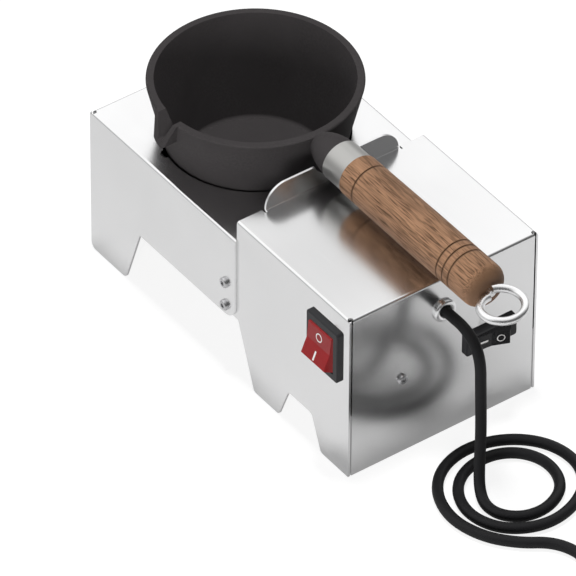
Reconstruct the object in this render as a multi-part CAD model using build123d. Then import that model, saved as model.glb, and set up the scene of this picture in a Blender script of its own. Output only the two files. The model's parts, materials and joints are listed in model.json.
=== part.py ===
from build123d import *
from math import cos, hypot, radians, sin, tan
import os

os.makedirs("parts", exist_ok=True)

# Electric melting pot, in millimetres. While it is built, X runs from the hotplate's end to the handle's end,
# Y = 0 is the plane through the handle, the red switch is on the -Y side, and Z = 0 is the table.
# At the end everything moves so that the origin is the bottom centre of the object without its cord.

# Sheet metal
SHEET = 1.2
INNER_BEND = 0.3
BEND = SHEET + INNER_BEND
NEST_GAP = 0.1
SEAM = 0.8
RELIEF_RADIUS = 1.35
SMALL_CORNER = 1.0

# Sizes that the rest follows: the round hole for the pot and the height of the control housing
HOLE_RADIUS = 48.2
CONTROL_HEIGHT = 100.0

# Hotplate housing
HOT_END_MARGINS = 26.1
HOT_SIDE_MARGINS = 20.6
HOT_STEP = 12.0
HOT_SIDE_HEIGHT = 52.0
HOT_LENGTH = 2 * HOLE_RADIUS + HOT_END_MARGINS
HOT_WIDTH = 2 * HOLE_RADIUS + HOT_SIDE_MARGINS
HOT_HEIGHT = CONTROL_HEIGHT - HOT_STEP
HOT_EDGE_Z = HOT_HEIGHT - HOT_SIDE_HEIGHT
HOT_FOOT = 30.0
HOT_FOOT_SLANT = 12.3
HOT_TOE_RADIUS = 3.5
HOT_HEEL_RADIUS = 4.0
HOT_CORNER_RADIUS = 8.5
HOT_SIDE_OVERHANG = 0.5

# Control housing
JOIN_GAP = 0.4
JOIN_X = HOT_LENGTH + JOIN_GAP
CONTROL_LENGTH = 92.8
CONTROL_EDGE_STEP = 1.3
CONTROL_EDGE_Z = HOT_EDGE_Z + CONTROL_EDGE_STEP
TAB_LENGTH = 16.2
TAB_TOP_GAP = 2.8
LEFT_FOOT_START = 1.1
LEFT_FOOT_SLANT = 13.6
LEFT_FOOT_TOE = 20.7
NOTCH_HEIGHT = 20.0
NOTCH_LEFT_SLANT = 7.9
NOTCH_TOP_WIDTH = 19.1
NOTCH_RIGHT_SLANT = 8.0
CONTROL_TOE_RADIUS = 2.5
NOTCH_RADIUS = 3.0
SIDE_SLOT_X = 22.4
SIDE_SLOT_DROP = 24.3
SIDE_SLOT_Z = CONTROL_HEIGHT - SIDE_SLOT_DROP
SIDE_SLOT_LENGTH = 18.5
SIDE_SLOT_HEIGHT = 2.5
END_X = JOIN_X + CONTROL_LENGTH
CONTROL_WIDTH = HOT_WIDTH - 2 * SHEET - 2 * NEST_GAP
CONTROL_INSIDE = CONTROL_WIDTH - 2 * SHEET

# Flange that stands up from the control housing's top, with a notch for the handle
FLANGE_HALF_WIDTH = 40.4
FLANGE_HEIGHT = 12.6
FLANGE_CORNER_RADIUS = 12.0
FLANGE_NOTCH_RADIUS = 11.5
FLANGE_STRIP = 5.0
FLANGE_SLOT_WIDTH = 1.6
FLANGE_SLOT_DEPTH = 2.6

# Pot
POT_SETBACK = 1.65
RIM_ABOVE_HOUSING = 33.8
RIM_OVERHANG = 6.4
POT_HEIGHT = 61.8
POT_TAPER = 0.231
POT_WALL = 4.2
POT_FLOOR = 5.4
POT_X = HOT_LENGTH / 2 - POT_SETBACK
RIM_Z = HOT_HEIGHT + RIM_ABOVE_HOUSING
RIM_RADIUS = HOLE_RADIUS + RIM_OVERHANG
POT_BASE_Z = RIM_Z - POT_HEIGHT
RIM_ROUND = 0.9
POT_BASE_ROUND = 3.0
POT_INSIDE_ROUND = 2.0

# Pouring spout, a trough through the pot's wall on the -Y side
SPOUT_LENGTH = 3.9
SPOUT_LIP_DROP = 12.7
SPOUT_WALL = 3.4
SPOUT_INNER_RADIUS = 1.6
SPOUT_INNER_ANGLE = 22.0
SPOUT_OUTER_ANGLE = 18.0

# Handle
HANDLE_DROP = 5.3
HANDLE_Z = RIM_Z - HANDLE_DROP
STUB_LENGTH = 17.6
STUB_ROOT_RADIUS = 4.2
STUB_INTO_WALL = 2.0
STUB_FLARE_PLACE = 0.28
STUB_MIDDLE_RADIUS = 8.2
STUB_END_RADIUS = 10.6
FERRULE_LENGTH = 14.1
FERRULE_RADIUS = 11.1
FERRULE_WALL = 1.0
GRIP_LENGTH = 106.7
GRIP_START_RADIUS = 11.6
GRIP_END_RADIUS = 12.1
GRIP_BULGE = 0.2
GRIP_END_ROUND = 6.5
GRIP_START_ROUND = 0.6
GROOVE_WIDTH = 0.9
GROOVE_DEPTH = 0.6
GROOVES_FROM_START = (10.3,)
GROOVES_FROM_END = (18.2, 22.8, 27.5)
TANG_RADIUS = 4.0
TANG_INTO_STUB = 12.0
TANG_INTO_GRIP = 60.0
FIT = 0.05

# Ring at the handle's end, one turn of wire with a shank in the wood
RING_WIRE = 4.3
RING_RADIUS = 11.0
RING_TURN = 353.0
RING_GAP = 0.2
RING_SIDE = -2.2
RING_LIFT = 1.0
SHANK_DEPTH = 24.0

# Notches of the round hole in the hotplate housing, and the can that hangs under it
HOLE_NOTCH_RADIUS = 3.25
HOLE_NOTCH_INSET = 0.7
HOLE_NOTCH_PLACE = HOLE_RADIUS - HOLE_NOTCH_INSET
HOLE_NOTCH_ANGLES = (-103.0, 17.0, 137.0)
CAN_MARGIN = 1.0
CAN_FLANGE = 5.3
CAN_SHEET = 0.8
HEATER_HEIGHT = 13.0
CAN_RADIUS = HOLE_RADIUS + CAN_MARGIN
CAN_FLANGE_RADIUS = CAN_RADIUS + CAN_FLANGE
CAN_FLOOR_Z = POT_BASE_Z - HEATER_HEIGHT

# Heater inside the can
PAD_THICKNESS = 3.0
HEATER_CLEARANCE = 0.4
HEATING_PLATE_MARGIN = 4.2
HEATING_PLATE_RADIUS = HOLE_RADIUS - HEATING_PLATE_MARGIN
HEATING_PLATE_SKIRT = 3.0
ELEMENT_INSET = 14.0
ELEMENT_RING_RADIUS = HEATING_PLATE_RADIUS - ELEMENT_INSET
ELEMENT_RADIUS = 3.25
ELEMENT_SINK = 4.5
ELEMENT_GAP_ANGLE = 20.0
ELEMENT_LEG_GAP = 2.0

# Base cover
BASE_SHEET = 1.0
BASE_GAP = 8.6
BASE_TOP_Z = CAN_FLOOR_Z - BASE_GAP
ELEMENT_LEG_Z = BASE_TOP_Z + ELEMENT_LEG_GAP
BASE_LIP_WIDTH = 24.0
BASE_LIP_HEIGHT = 16.0
BASE_SCREW_SPACING = 50.0
SPACER_RADIUS = 3.5

# Heat shield between the two housings
SHIELD_SETBACK = 2.2
SHIELD_LIP = 8.0
SHIELD_LIP_MARGIN = 4.0
WIRE_HOLE_RADIUS = 6.0
WIRE_HOLE_RISE = 11.6
WIRE_HOLE_Z = BASE_TOP_Z + WIRE_HOLE_RISE

# Screws and nuts, M3
SCREW_RADIUS = 1.5
SCREW_HOLE_CLEARANCE = 0.1
SCREW_HEAD_RADIUS = 2.9
SCREW_HEAD_HEIGHT = 1.9
SCREW_HEAD_ROUND = 1.14
SCREW_RECESS_FLATS = 2.32
SCREW_RECESS_DEPTH = 1.05
NUT_ACROSS_FLATS = 5.5
NUT_HEIGHT = 2.4
THREAD_GAP = 0.02
SCREW_TIP = 1.0

SIDE_SCREW_SETBACK = 8.0
SIDE_SCREW_RISES = (5.8, 20.3)
EARTH_SCREW_Y = -25.0
EARTH_SCREW_RISE = 9.1
EARTH_SCREW_Z = BASE_TOP_Z + EARTH_SCREW_RISE

# Thermostat under the hotplate housing's top, held by two screws beside the can's flange
THERMOSTAT_WIDTH = 7.0
THERMOSTAT_ANGLE = 32.75
THERMOSTAT_GAP = 0.5
THERMOSTAT_SCREW_OFFSETS = (0.4, 8.72)
THERMOSTAT_PLACE = CAN_FLANGE_RADIUS + THERMOSTAT_GAP + THERMOSTAT_WIDTH / 2
THERMOSTAT_SCREWS = [
    (
        POT_X + THERMOSTAT_PLACE * cos(radians(THERMOSTAT_ANGLE)) - offset * sin(radians(THERMOSTAT_ANGLE)),
        THERMOSTAT_PLACE * sin(radians(THERMOSTAT_ANGLE)) + offset * cos(radians(THERMOSTAT_ANGLE)),
    )
    for offset in THERMOSTAT_SCREW_OFFSETS
]
THERMOSTAT_STACK_HEIGHT = 12.0
THERMOSTAT_MARGIN = 3.8
BLADE_LENGTH = 16.0
BLADE_THICKNESS = 0.6
BLADE_SPACING = 3.0
BLADE_MARGIN = 0.6
CONTACT_RADIUS = 1.2
CONTACT_SETBACK = 3.0

# Terminal block on the +Y side of the control housing, held by two screws
BLOCK_SCREW_PLACES = ((54.7, 9.0), (31.7, 21.0))
BLOCK_SCREWS = [(END_X - back, CONTROL_HEIGHT - down) for back, down in BLOCK_SCREW_PLACES]
BLOCK_MARGIN_X = 5.5
BLOCK_MARGIN_Z = 4.5
BLOCK_DEPTH = 12.0
INSERT_SIDE = 6.0
INSERT_COUNT = 3
INSERT_PITCH = 8.4
INSERT_RECESS = 0.5

# Rocker switches
BEZEL_LENGTH = 31.0
RED_BEZEL_WIDTH = 25.5
BLACK_BEZEL_WIDTH = 13.0
BEZEL_HEIGHT = 4.0
BEZEL_ROUND = 0.8
BEZEL_CORNER = 1.5
SWITCH_LENGTH = 27.6
RED_SWITCH_WIDTH = 21.6
BLACK_SWITCH_WIDTH = 11.4
SWITCH_DEPTH = 16.0
SWITCH_FLOOR = 6.0
SWITCH_HOLE_CLEARANCE = 0.2
SWITCH_LUG = 0.8
SWITCH_LUG_LENGTH = 3.0
SWITCH_LUG_WIDTH = 8.0
RED_ROCKER_WIDTH = 18.4
BLACK_ROCKER_WIDTH = 8.4
ROCKER_CLEARANCE = 0.2
ROCKER_PIVOT_DEPTH = 5.0
ROCKER_TOP_HALF = 9.4
ROCKER_TOP_HEIGHT = 8.6
ROCKER_VALLEY_HEIGHT = 7.2
ROCKER_EDGE_HALF = 11.0
ROCKER_EDGE_HEIGHT = 2.6
ROCKER_BELOW = 6.0
ROCKER_TILT = 14.0
ROCKER_EDGE_ROUND = 0.5
PIN_RADIUS = 1.25
PIN_LENGTH = 1.0
PIN_CLEARANCE = 0.03
RED_TERMINAL_WIDTH = 6.3
BLACK_TERMINAL_WIDTH = 4.8
TERMINAL_THICKNESS = 0.8
TERMINAL_REACH = 8.0
TERMINAL_SPACING = 8.0
TERMINAL_HOLE_RADIUS = 0.9
TERMINAL_HOLE_SETBACK = 2.5
RED_SWITCH_SETBACK = 17.3
RED_SWITCH_DROP = 25.4
RED_SWITCH_Z = CONTROL_HEIGHT - RED_SWITCH_DROP
BLACK_SWITCH_Y = 27.0
BLACK_SWITCH_DROP = 48.45
BLACK_SWITCH_Z = CONTROL_HEIGHT - BLACK_SWITCH_DROP

# Cord bushing, an eyelet with a nut
BUSHING_DROP = 20.5
BUSHING_Z = CONTROL_HEIGHT - BUSHING_DROP
BUSHING_FLANGE_RADIUS = 6.5
BUSHING_FLANGE_HEIGHT = 2.3
BUSHING_BARREL_RADIUS = 4.6
BUSHING_BARREL_LENGTH = 10.0
BUSHING_MOUTH_ROUND = 1.6
BUSHING_NUT_FLATS = 13.0
BUSHING_NUT_HEIGHT = 3.0
CORD_FIT = 0.1

# Cord, and its free stretch from the bushing to the coil: distance from the end panel, Y, and the height
# as a share of the bushing's height where it isn't on the table
CORD_RADIUS = 2.9
FLOOR_Z = CORD_RADIUS
COIL_ENTRY_LIFT = 0.5
LEAD_DROP = [
    (-6.7, 0.0, 1.0),
    (4.8, 0.0, 1.0),
    (16.9, 0.0, 1.0025),
    (25.7, 0.0, 0.9434),
    (30.6, -0.4, 0.8365),
    (32.5, -1.5, 0.6792),
    (35.9, -3.6, 0.5031),
    (40.1, -6.6, 0.3459),
    (44.5, -10.6, 0.1912),
    (49.9, -14.4, 0.078),
]
LEAD_ON_FLOOR = [
    (58.3, -17.4),
    (68.7, -15.4),
    (76.5, -6.4),
    (77.7, 6.6),
    (71.5, 19.4),
    (60.7, 25.8),
    (47.7, 26.2),
    (36.3, 19.4),
    (30.1, 7.0),
    (31.5, -9.4),
    (40.9, -22.0),
    (56.8, -27.8),
    (72.3, -23.8),
    (82.7, -13.0),
    (87.3, 3.0),
    (83.1, 20.0),
    (72.8, 33.5),
    (56.3, 39.4),
    (38.3, 34.8),
    (24.7, 20.5),
    (19.1, 0.5),
    (24.1, -18.5),
    (37.3, -31.6),
    (56.8, -36.8),
    (75.8, -31.6),
    (89.8, -20.0),
    (98.3, -7.0),
    (111.3, -0.6),
    (125.3, -2.2),
]
LEAD_TO_COIL = [
    (137.8, -1.6),
    (147.8, 3.5),
]
LEAD_POINTS = [(END_X + x, y, BUSHING_Z * share) for x, y, share in LEAD_DROP]
LEAD_POINTS += [(END_X + x, y, FLOOR_Z) for x, y in LEAD_ON_FLOOR]
LEAD_POINTS += [(END_X + x, y, FLOOR_Z + COIL_ENTRY_LIFT) for x, y in LEAD_TO_COIL]

# Coil of the length that is put away, two turns wide and two high
COIL_DISTANCE = 156.3
COIL_X = END_X + COIL_DISTANCE
COIL_Y = 32.0
COIL_RADIUS = 31.5
TURNS_WIDE = 2
TURNS_HIGH = 2
COIL_WIDTH = 2 * TURNS_WIDE * CORD_RADIUS
COIL_HEIGHT = 2 * TURNS_HIGH * CORD_RADIUS
COIL_ROUND = 2.6
TIE_ANGLE = 150.0
TIE_SPAN = 16.0
TIE_THICKNESS = 0.8
TAIL_Z = COIL_HEIGHT - CORD_RADIUS - COIL_ENTRY_LIFT
PLUG_THICKNESS = 22.0
PLUG_Z = PLUG_THICKNESS / 2
TAIL_PLACES = [(30.0, -1.0), (37.0, 10.0), (39.6, 20.0), (38.7, 30.0)]
TAIL_HEIGHTS = (TAIL_Z, TAIL_Z, PLUG_Z, PLUG_Z)
TAIL_POINTS = [(COIL_X + x, COIL_Y + y, z) for (x, y), z in zip(TAIL_PLACES, TAIL_HEIGHTS)]

# Plug on the cord's end
PLUG_RELIEF_LENGTH = 18.0
PLUG_RELIEF_RADIUS = 4.4
PLUG_RELIEF_END_RADIUS = 6.4
PLUG_LENGTH = 34.0
PLUG_WIDTH = 27.0
PLUG_ROUND = 4.0
PLUG_BACK_ROUND = 2.8
PLUG_RELIEF_ROUND = 0.8
BLADE_PIN_WIDTH = 6.35
BLADE_PIN_THICKNESS = 1.5
BLADE_PIN_LENGTH = 16.0
BLADE_PIN_SPREAD = 12.7
EARTH_PIN_RADIUS = 2.4
EARTH_PIN_LENGTH = 19.0
BLADE_PIN_DROP = 4.0
EARTH_PIN_LIFT = 4.8
PIN_ROOT = 6.0

# Wires inside
WIRE_RADIUS = 1.25
WIRE_OFFSET = 1.6
WIRE_STUB = 9.0
WIRE_SPREAD = 2.6
HEATER_WIRE_BACK = (14.0, 0.5)
HEATER_WIRE_ON = (16.0, 6.0, 10.0)
HEATER_WIRE_END = (4.0, 22.0, 8.0)
RED_TO_BLOCK_BENDS = ((0.0, 11.0, 1.0), (-6.0, 33.0, 10.0))
RED_TO_BLOCK_END = (2.0, -21.0, -1.0)
RED_TO_BLACK_BEND = (0.0, 11.0, -1.0)
RED_TO_BLACK_END = ((-7.0, -25.0, 12.0), (-14.5, -12.0, 3.0), (-10.5, -1.4, 0.0))
MAINS_STUB = (-9.0, 0.7, -0.5)
MAINS_TO_BLACK_BEND = (-6.0, -22.0, -9.0)
MAINS_TO_BLACK_END = ((-14.0, -8.0, 4.0), (-10.5, -1.4, 0.0))
MAINS_TO_BLOCK_STUB = (-9.0, -0.7, 0.3)
MAINS_TO_BLOCK_END = ((15.0, -34.0, 6.0), (1.0, -20.0, -4.0), (0.0, -9.0, 0.0))


def block(x_range, y_range, z_range):
    """A box between two values on each axis."""
    corner = Box(
        x_range[1] - x_range[0],
        y_range[1] - y_range[0],
        z_range[1] - z_range[0],
        align=(Align.MIN, Align.MIN, Align.MIN),
    )
    return Pos(x_range[0], y_range[0], z_range[0]) * corner


def rod(start, direction, radius, length):
    """A round bar from a point along a direction."""
    bar = Cylinder(radius, length, align=(Align.CENTER, Align.CENTER, Align.MIN))
    return Plane(origin=start, z_dir=direction) * bar


def hexagon_bar(start, direction, flats, length):
    """A six-sided bar, measured across its flats."""
    face = RegularPolygon(flats / 2, 6, major_radius=False)
    return extrude(Plane(origin=start, z_dir=direction) * face, length)


def rounded_outline(points):
    """A closed face from (x, y, corner radius) points."""
    face = make_face(Polyline([(x, y) for x, y, _ in points], close=True))
    for x, y, radius in points:
        if radius:
            corner = face.vertices().sort_by_distance((x, y))[0]
            face = fillet(corner, radius)
    return face


def turned(points, origin, direction):
    """A solid of revolution from (distance along the axis, radius, corner radius) points."""
    face = rounded_outline(points)
    plane = Plane(origin=origin, x_dir=direction, z_dir=(0, 1, 0))
    return revolve(plane * face, Axis(origin, direction))


def solid_of(shape):
    """The one solid that a shape holds."""
    return shape.solids()[0]


def group(shapes):
    """Several separate solids that share one node."""
    return Compound([solid for shape in shapes for solid in shape.solids()])


def folded_channel(x_range, width, height):
    """A sheet folded to a U that is open below, along X."""
    outer = Rectangle(width, height, align=(Align.CENTER, Align.MIN))
    outer = fillet(outer.vertices().group_by(Axis.Y)[-1], BEND)
    inner = Rectangle(width - 2 * SHEET, height - SHEET, align=(Align.CENTER, Align.MIN))
    inner = fillet(inner.vertices().group_by(Axis.Y)[-1], INNER_BEND)
    section = Plane.YZ.offset(x_range[0]) * (outer - inner)
    return extrude(section, x_range[1] - x_range[0])


def folded_end(x_end, outward, width, height):
    """The end panel, folded down from the top, with its outer face at x_end."""
    x_back = x_end - 2 * outward * BEND
    x_inner = x_end - outward * SHEET
    outer = rounded_outline([(x_back, 0, 0), (x_end, 0, 0), (x_end, height, BEND), (x_back, height, 0)])
    inner = rounded_outline(
        [(x_back, 0, 0), (x_inner, 0, 0), (x_inner, height - SHEET, INNER_BEND), (x_back, height - SHEET, 0)]
    )
    half = width / 2 - SHEET - SEAM
    return extrude(Plane.XZ * (outer - inner), half, both=True)


def folded_box(x_range, x_end, outward, width, height, outline):
    """Top, two sides of the given outline and one end panel, folded from one sheet."""
    body = folded_channel(x_range, width, height)
    body &= extrude(Plane.XZ * outline, width, both=True)
    x_bend = x_end - outward * BEND
    inside = width / 2 - SHEET
    x_cut = sorted((x_bend, x_end + outward))
    body -= block(x_cut, (-inside, inside), (height - 2 * BEND, height + 1))
    body += folded_end(x_end, outward, width, height)
    for side in (-1, 1):
        centre = (x_bend, side * (inside - SEAM / 2), height + 1)
        body -= rod(centre, (0, 0, -1), RELIEF_RADIUS, 3 * BEND)
    return body


def ring_of_places(radius, angles):
    """Points at a radius around the pot's axis."""
    return [(POT_X + radius * cos(radians(a)), radius * sin(radians(a))) for a in angles]


def screw(head_seat, direction, length):
    """A pan-head screw. The head stands on the seat, and the shank points along the direction."""
    inward = Vector(*direction)
    out = Vector(*head_seat) - inward * SCREW_HEAD_HEIGHT
    head = rod(out, direction, SCREW_HEAD_RADIUS, SCREW_HEAD_HEIGHT)
    rim = head.edges().filter_by(GeomType.CIRCLE).sort_by_distance(out)[0]
    head = fillet(rim, SCREW_HEAD_ROUND)
    head -= hexagon_bar(out, direction, SCREW_RECESS_FLATS, SCREW_RECESS_DEPTH)
    return head + rod(head_seat, direction, SCREW_RADIUS, length)


def nut(seat, direction):
    """A hexagon nut whose first face is at the seat."""
    body = hexagon_bar(seat, direction, NUT_ACROSS_FLATS, NUT_HEIGHT)
    return body - rod(seat, direction, SCREW_RADIUS + THREAD_GAP, NUT_HEIGHT)


def screw_hole(point, direction, length):
    """The clearance hole for a screw."""
    return rod(point, direction, SCREW_RADIUS + SCREW_HOLE_CLEARANCE, length)


SIDE_SCREW_X = HOT_LENGTH - SIDE_SCREW_SETBACK + HOT_SIDE_OVERHANG
RED_SWITCH_X = END_X - RED_SWITCH_SETBACK
RED_PANEL_Y = -CONTROL_WIDTH / 2
HOT_SIDE_END = HOT_LENGTH + HOT_SIDE_OVERHANG
HOT_CEILING = HOT_HEIGHT - SHEET


def side_screw_places():
    """Places and inward directions of the four screws that join the housings."""
    heights = [HOT_EDGE_Z + rise for rise in SIDE_SCREW_RISES]
    return [(SIDE_SCREW_X, side * HOT_WIDTH / 2, z, -side) for side in (-1, 1) for z in heights]


def hotplate_housing():
    """The cover over the heater, open below, with a foot at its end and a round hole on top."""
    outline = rounded_outline(
        [
            (0, 0, HOT_HEEL_RADIUS),
            (HOT_FOOT, 0, HOT_TOE_RADIUS),
            (HOT_FOOT + HOT_FOOT_SLANT, HOT_EDGE_Z, SMALL_CORNER),
            (HOT_SIDE_END, HOT_EDGE_Z, HOT_CORNER_RADIUS),
            (HOT_SIDE_END, HOT_HEIGHT, 0),
            (0, HOT_HEIGHT, 0),
        ]
    )
    body = folded_box((0, HOT_SIDE_END), 0, -1, HOT_WIDTH, HOT_HEIGHT, outline)
    inside = HOT_WIDTH / 2 - SHEET
    body -= block((HOT_LENGTH, HOT_SIDE_END + 1), (-inside, inside), (HOT_CEILING - 1, HOT_HEIGHT + 1))
    hole_bottom = HOT_CEILING - 1
    hole = rod((POT_X, 0, hole_bottom), (0, 0, 1), HOLE_RADIUS, 2 * SHEET + 1)
    for x, y in ring_of_places(HOLE_NOTCH_PLACE, HOLE_NOTCH_ANGLES):
        hole += rod((x, y, hole_bottom), (0, 0, 1), HOLE_NOTCH_RADIUS, 2 * SHEET + 1)
    body -= hole
    for x, y, z, inward in side_screw_places():
        body -= screw_hole((x, y - inward, z), (0, inward, 0), 2 * SHEET + 1)
    for x, y in THERMOSTAT_SCREWS:
        body -= screw_hole((x, y, HOT_HEIGHT + 1), (0, 0, -1), 2 * SHEET + 1)
    return solid_of(body)


def handle_flange():
    """The sheet that stands up from the control housing's top, notched for the handle."""
    back = JOIN_X - NEST_GAP
    front = back + SHEET
    low = CONTROL_HEIGHT - SHEET
    high = CONTROL_HEIGHT + FLANGE_HEIGHT
    strip_end = front + FLANGE_STRIP
    profile = rounded_outline(
        [
            (back, low, BEND),
            (strip_end, low, 0),
            (strip_end, CONTROL_HEIGHT, 0),
            (front, CONTROL_HEIGHT, INNER_BEND),
            (front, high, 0),
            (back, high, 0),
        ]
    )
    body = extrude(Plane.XZ * profile, FLANGE_HALF_WIDTH, both=True)
    front_view = rounded_outline(
        [
            (-FLANGE_HALF_WIDTH, low, 0),
            (FLANGE_HALF_WIDTH, low, 0),
            (FLANGE_HALF_WIDTH, high, FLANGE_CORNER_RADIUS),
            (-FLANGE_HALF_WIDTH, high, FLANGE_CORNER_RADIUS),
        ]
    )
    body &= extrude(Plane.YZ.offset(back) * front_view, strip_end - back)
    return body - rod((back - 1, 0, HANDLE_Z), (1, 0, 0), FLANGE_NOTCH_RADIUS, 2 * SHEET)


def control_housing():
    """The taller cover over the switches, with two tabs that run inside the hotplate housing."""
    toe_start = JOIN_X + LEFT_FOOT_START + LEFT_FOOT_SLANT
    notch_start = toe_start + LEFT_FOOT_TOE
    notch_left = notch_start + NOTCH_LEFT_SLANT
    notch_right = notch_left + NOTCH_TOP_WIDTH
    notch_end = notch_right + NOTCH_RIGHT_SLANT
    tab_back = JOIN_X - TAB_LENGTH
    tab_top = HOT_CEILING - TAB_TOP_GAP
    outline = rounded_outline(
        [
            (tab_back, CONTROL_EDGE_Z, SMALL_CORNER),
            (JOIN_X + LEFT_FOOT_START, CONTROL_EDGE_Z, SMALL_CORNER),
            (toe_start, 0, CONTROL_TOE_RADIUS),
            (notch_start, 0, CONTROL_TOE_RADIUS),
            (notch_left, NOTCH_HEIGHT, NOTCH_RADIUS),
            (notch_right, NOTCH_HEIGHT, NOTCH_RADIUS),
            (notch_end, 0, CONTROL_TOE_RADIUS),
            (END_X, 0, 0),
            (END_X, CONTROL_HEIGHT, 0),
            (JOIN_X, CONTROL_HEIGHT, 0),
            (JOIN_X, tab_top, 0),
            (tab_back, tab_top, SMALL_CORNER),
        ]
    )
    body = folded_box((tab_back, END_X), END_X, 1, CONTROL_WIDTH, CONTROL_HEIGHT, outline)
    for side in (-1, 1):
        slot_y = sorted((side * FLANGE_HALF_WIDTH, side * (FLANGE_HALF_WIDTH + FLANGE_SLOT_WIDTH)))
        body -= block((JOIN_X - 1, JOIN_X + FLANGE_SLOT_DEPTH), slot_y, (CONTROL_HEIGHT - 2, CONTROL_HEIGHT + 1))
    corner = FLANGE_HALF_WIDTH
    body -= block((JOIN_X - 1, JOIN_X + BEND), (-corner, corner), (CONTROL_HEIGHT - 2, CONTROL_HEIGHT + 1))
    body += handle_flange()
    for x, y, z, inward in side_screw_places():
        body -= screw_hole((x, y - inward, z), (0, inward, 0), 4 * SHEET)
    for x, z in BLOCK_SCREWS:
        body -= screw_hole((x, CONTROL_WIDTH / 2 + 1, z), (0, -1, 0), 2 * SHEET + 1)
    body -= screw_hole((END_X + 1, EARTH_SCREW_Y, EARTH_SCREW_Z), (-1, 0, 0), 2 * SHEET + 1)
    slot_x = JOIN_X + SIDE_SLOT_X - SIDE_SLOT_LENGTH / 2
    half_slot = SIDE_SLOT_HEIGHT / 2
    body -= block(
        (slot_x, slot_x + SIDE_SLOT_LENGTH),
        (CONTROL_INSIDE / 2 - 1, CONTROL_WIDTH / 2 + 1),
        (SIDE_SLOT_Z - half_slot, SIDE_SLOT_Z + half_slot),
    )
    body -= rod((END_X + 1, 0, BUSHING_Z), (-1, 0, 0), BUSHING_BARREL_RADIUS + NEST_GAP, 2 * SHEET + 1)
    for place, width in ((red_switch_place(), RED_SWITCH_WIDTH), (black_switch_place(), BLACK_SWITCH_WIDTH)):
        long_side = SWITCH_LENGTH + 2 * SWITCH_HOLE_CLEARANCE
        body -= place * Box(long_side, width + 2 * SWITCH_HOLE_CLEARANCE, 4 * SHEET)
    return solid_of(body)


def trough(bottom, radius, half_angle, top):
    """A V with a round bottom, across the spout."""
    apex = bottom + radius - radius / sin(radians(half_angle))
    half_width = (top - apex) * tan(radians(half_angle))
    return rounded_outline([(POT_X, apex, radius), (POT_X + half_width, top, 0), (POT_X - half_width, top, 0)])


def melting_pot():
    """The cast pot with its pouring spout and the socket stub for the handle, one casting."""
    base_radius = RIM_RADIUS - POT_TAPER * (RIM_Z - POT_BASE_Z)
    floor_z = POT_BASE_Z + POT_FLOOR
    inner_radius = RIM_RADIUS - POT_WALL
    floor_radius = inner_radius - POT_TAPER * (RIM_Z - floor_z)
    above = RIM_Z + 2
    origin = (POT_X, 0, 0)
    body = turned(
        [
            (POT_BASE_Z, 0, 0),
            (POT_BASE_Z, base_radius, POT_BASE_ROUND),
            (RIM_Z, RIM_RADIUS, RIM_ROUND),
            (RIM_Z, 0, 0),
        ],
        origin,
        (0, 0, 1),
    )
    lip_z = RIM_Z - SPOUT_LIP_DROP
    tip = RIM_RADIUS + SPOUT_LENGTH
    outer = trough(lip_z - SPOUT_WALL, SPOUT_INNER_RADIUS + SPOUT_WALL, SPOUT_OUTER_ANGLE, RIM_Z)
    body += extrude(Plane.XZ * outer, tip)
    slope = rounded_outline(
        [(-RIM_RADIUS, RIM_Z, 0), (-tip, lip_z, 0), (-tip - 1, lip_z, 0), (-tip - 1, above, 0)]
    )
    body -= extrude(Plane.YZ.offset(POT_X) * slope, RIM_RADIUS / 2, both=True)

    stub_start = stub_root_x()
    stub_end = stub_start + STUB_LENGTH
    stub_root = stub_start - STUB_INTO_WALL
    flare = ThreePointArc(
        (stub_root, STUB_ROOT_RADIUS),
        (stub_start + STUB_FLARE_PLACE * STUB_LENGTH, STUB_MIDDLE_RADIUS),
        (stub_end, STUB_END_RADIUS),
    )
    ends = Polyline([(stub_end, STUB_END_RADIUS), (stub_end, 0), (stub_root, 0), (stub_root, STUB_ROOT_RADIUS)])
    plane = Plane(origin=(0, 0, HANDLE_Z), x_dir=(1, 0, 0), z_dir=(0, -1, 0))
    body += revolve(plane * make_face(flare + ends), Axis((0, 0, HANDLE_Z), (1, 0, 0)))

    cavity = turned(
        [(floor_z, 0, 0), (floor_z, floor_radius, POT_INSIDE_ROUND), (RIM_Z, inner_radius, 0), (RIM_Z, 0, 0)],
        origin,
        (0, 0, 1),
    )
    body -= cavity
    body -= extrude(Plane.XZ * trough(lip_z, SPOUT_INNER_RADIUS, SPOUT_INNER_ANGLE, above), tip + 1)
    body -= rod((stub_end - TANG_INTO_STUB, 0, HANDLE_Z), (1, 0, 0), TANG_RADIUS + FIT, TANG_INTO_STUB + 1)
    return solid_of(body)


def stub_root_x():
    """Where the pot's outer wall meets the handle's axis."""
    return POT_X + RIM_RADIUS - POT_TAPER * (RIM_Z - HANDLE_Z)


FERRULE_X = stub_root_x() + STUB_LENGTH
GRIP_X = FERRULE_X + FERRULE_LENGTH
GRIP_END = GRIP_X + GRIP_LENGTH


def handle_tang():
    """The steel rod that joins the pot's stub to the wood."""
    start = FERRULE_X - TANG_INTO_STUB + NEST_GAP
    return rod((start, 0, HANDLE_Z), (1, 0, 0), TANG_RADIUS, TANG_INTO_STUB + FERRULE_LENGTH + TANG_INTO_GRIP)


def handle_ferrule():
    """The bright tube around the wood's front end."""
    body = rod((FERRULE_X, 0, HANDLE_Z), (1, 0, 0), FERRULE_RADIUS, FERRULE_LENGTH)
    bore = rod((FERRULE_X, 0, HANDLE_Z), (1, 0, 0), FERRULE_RADIUS - FERRULE_WALL, FERRULE_LENGTH)
    return solid_of(body - bore)


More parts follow.
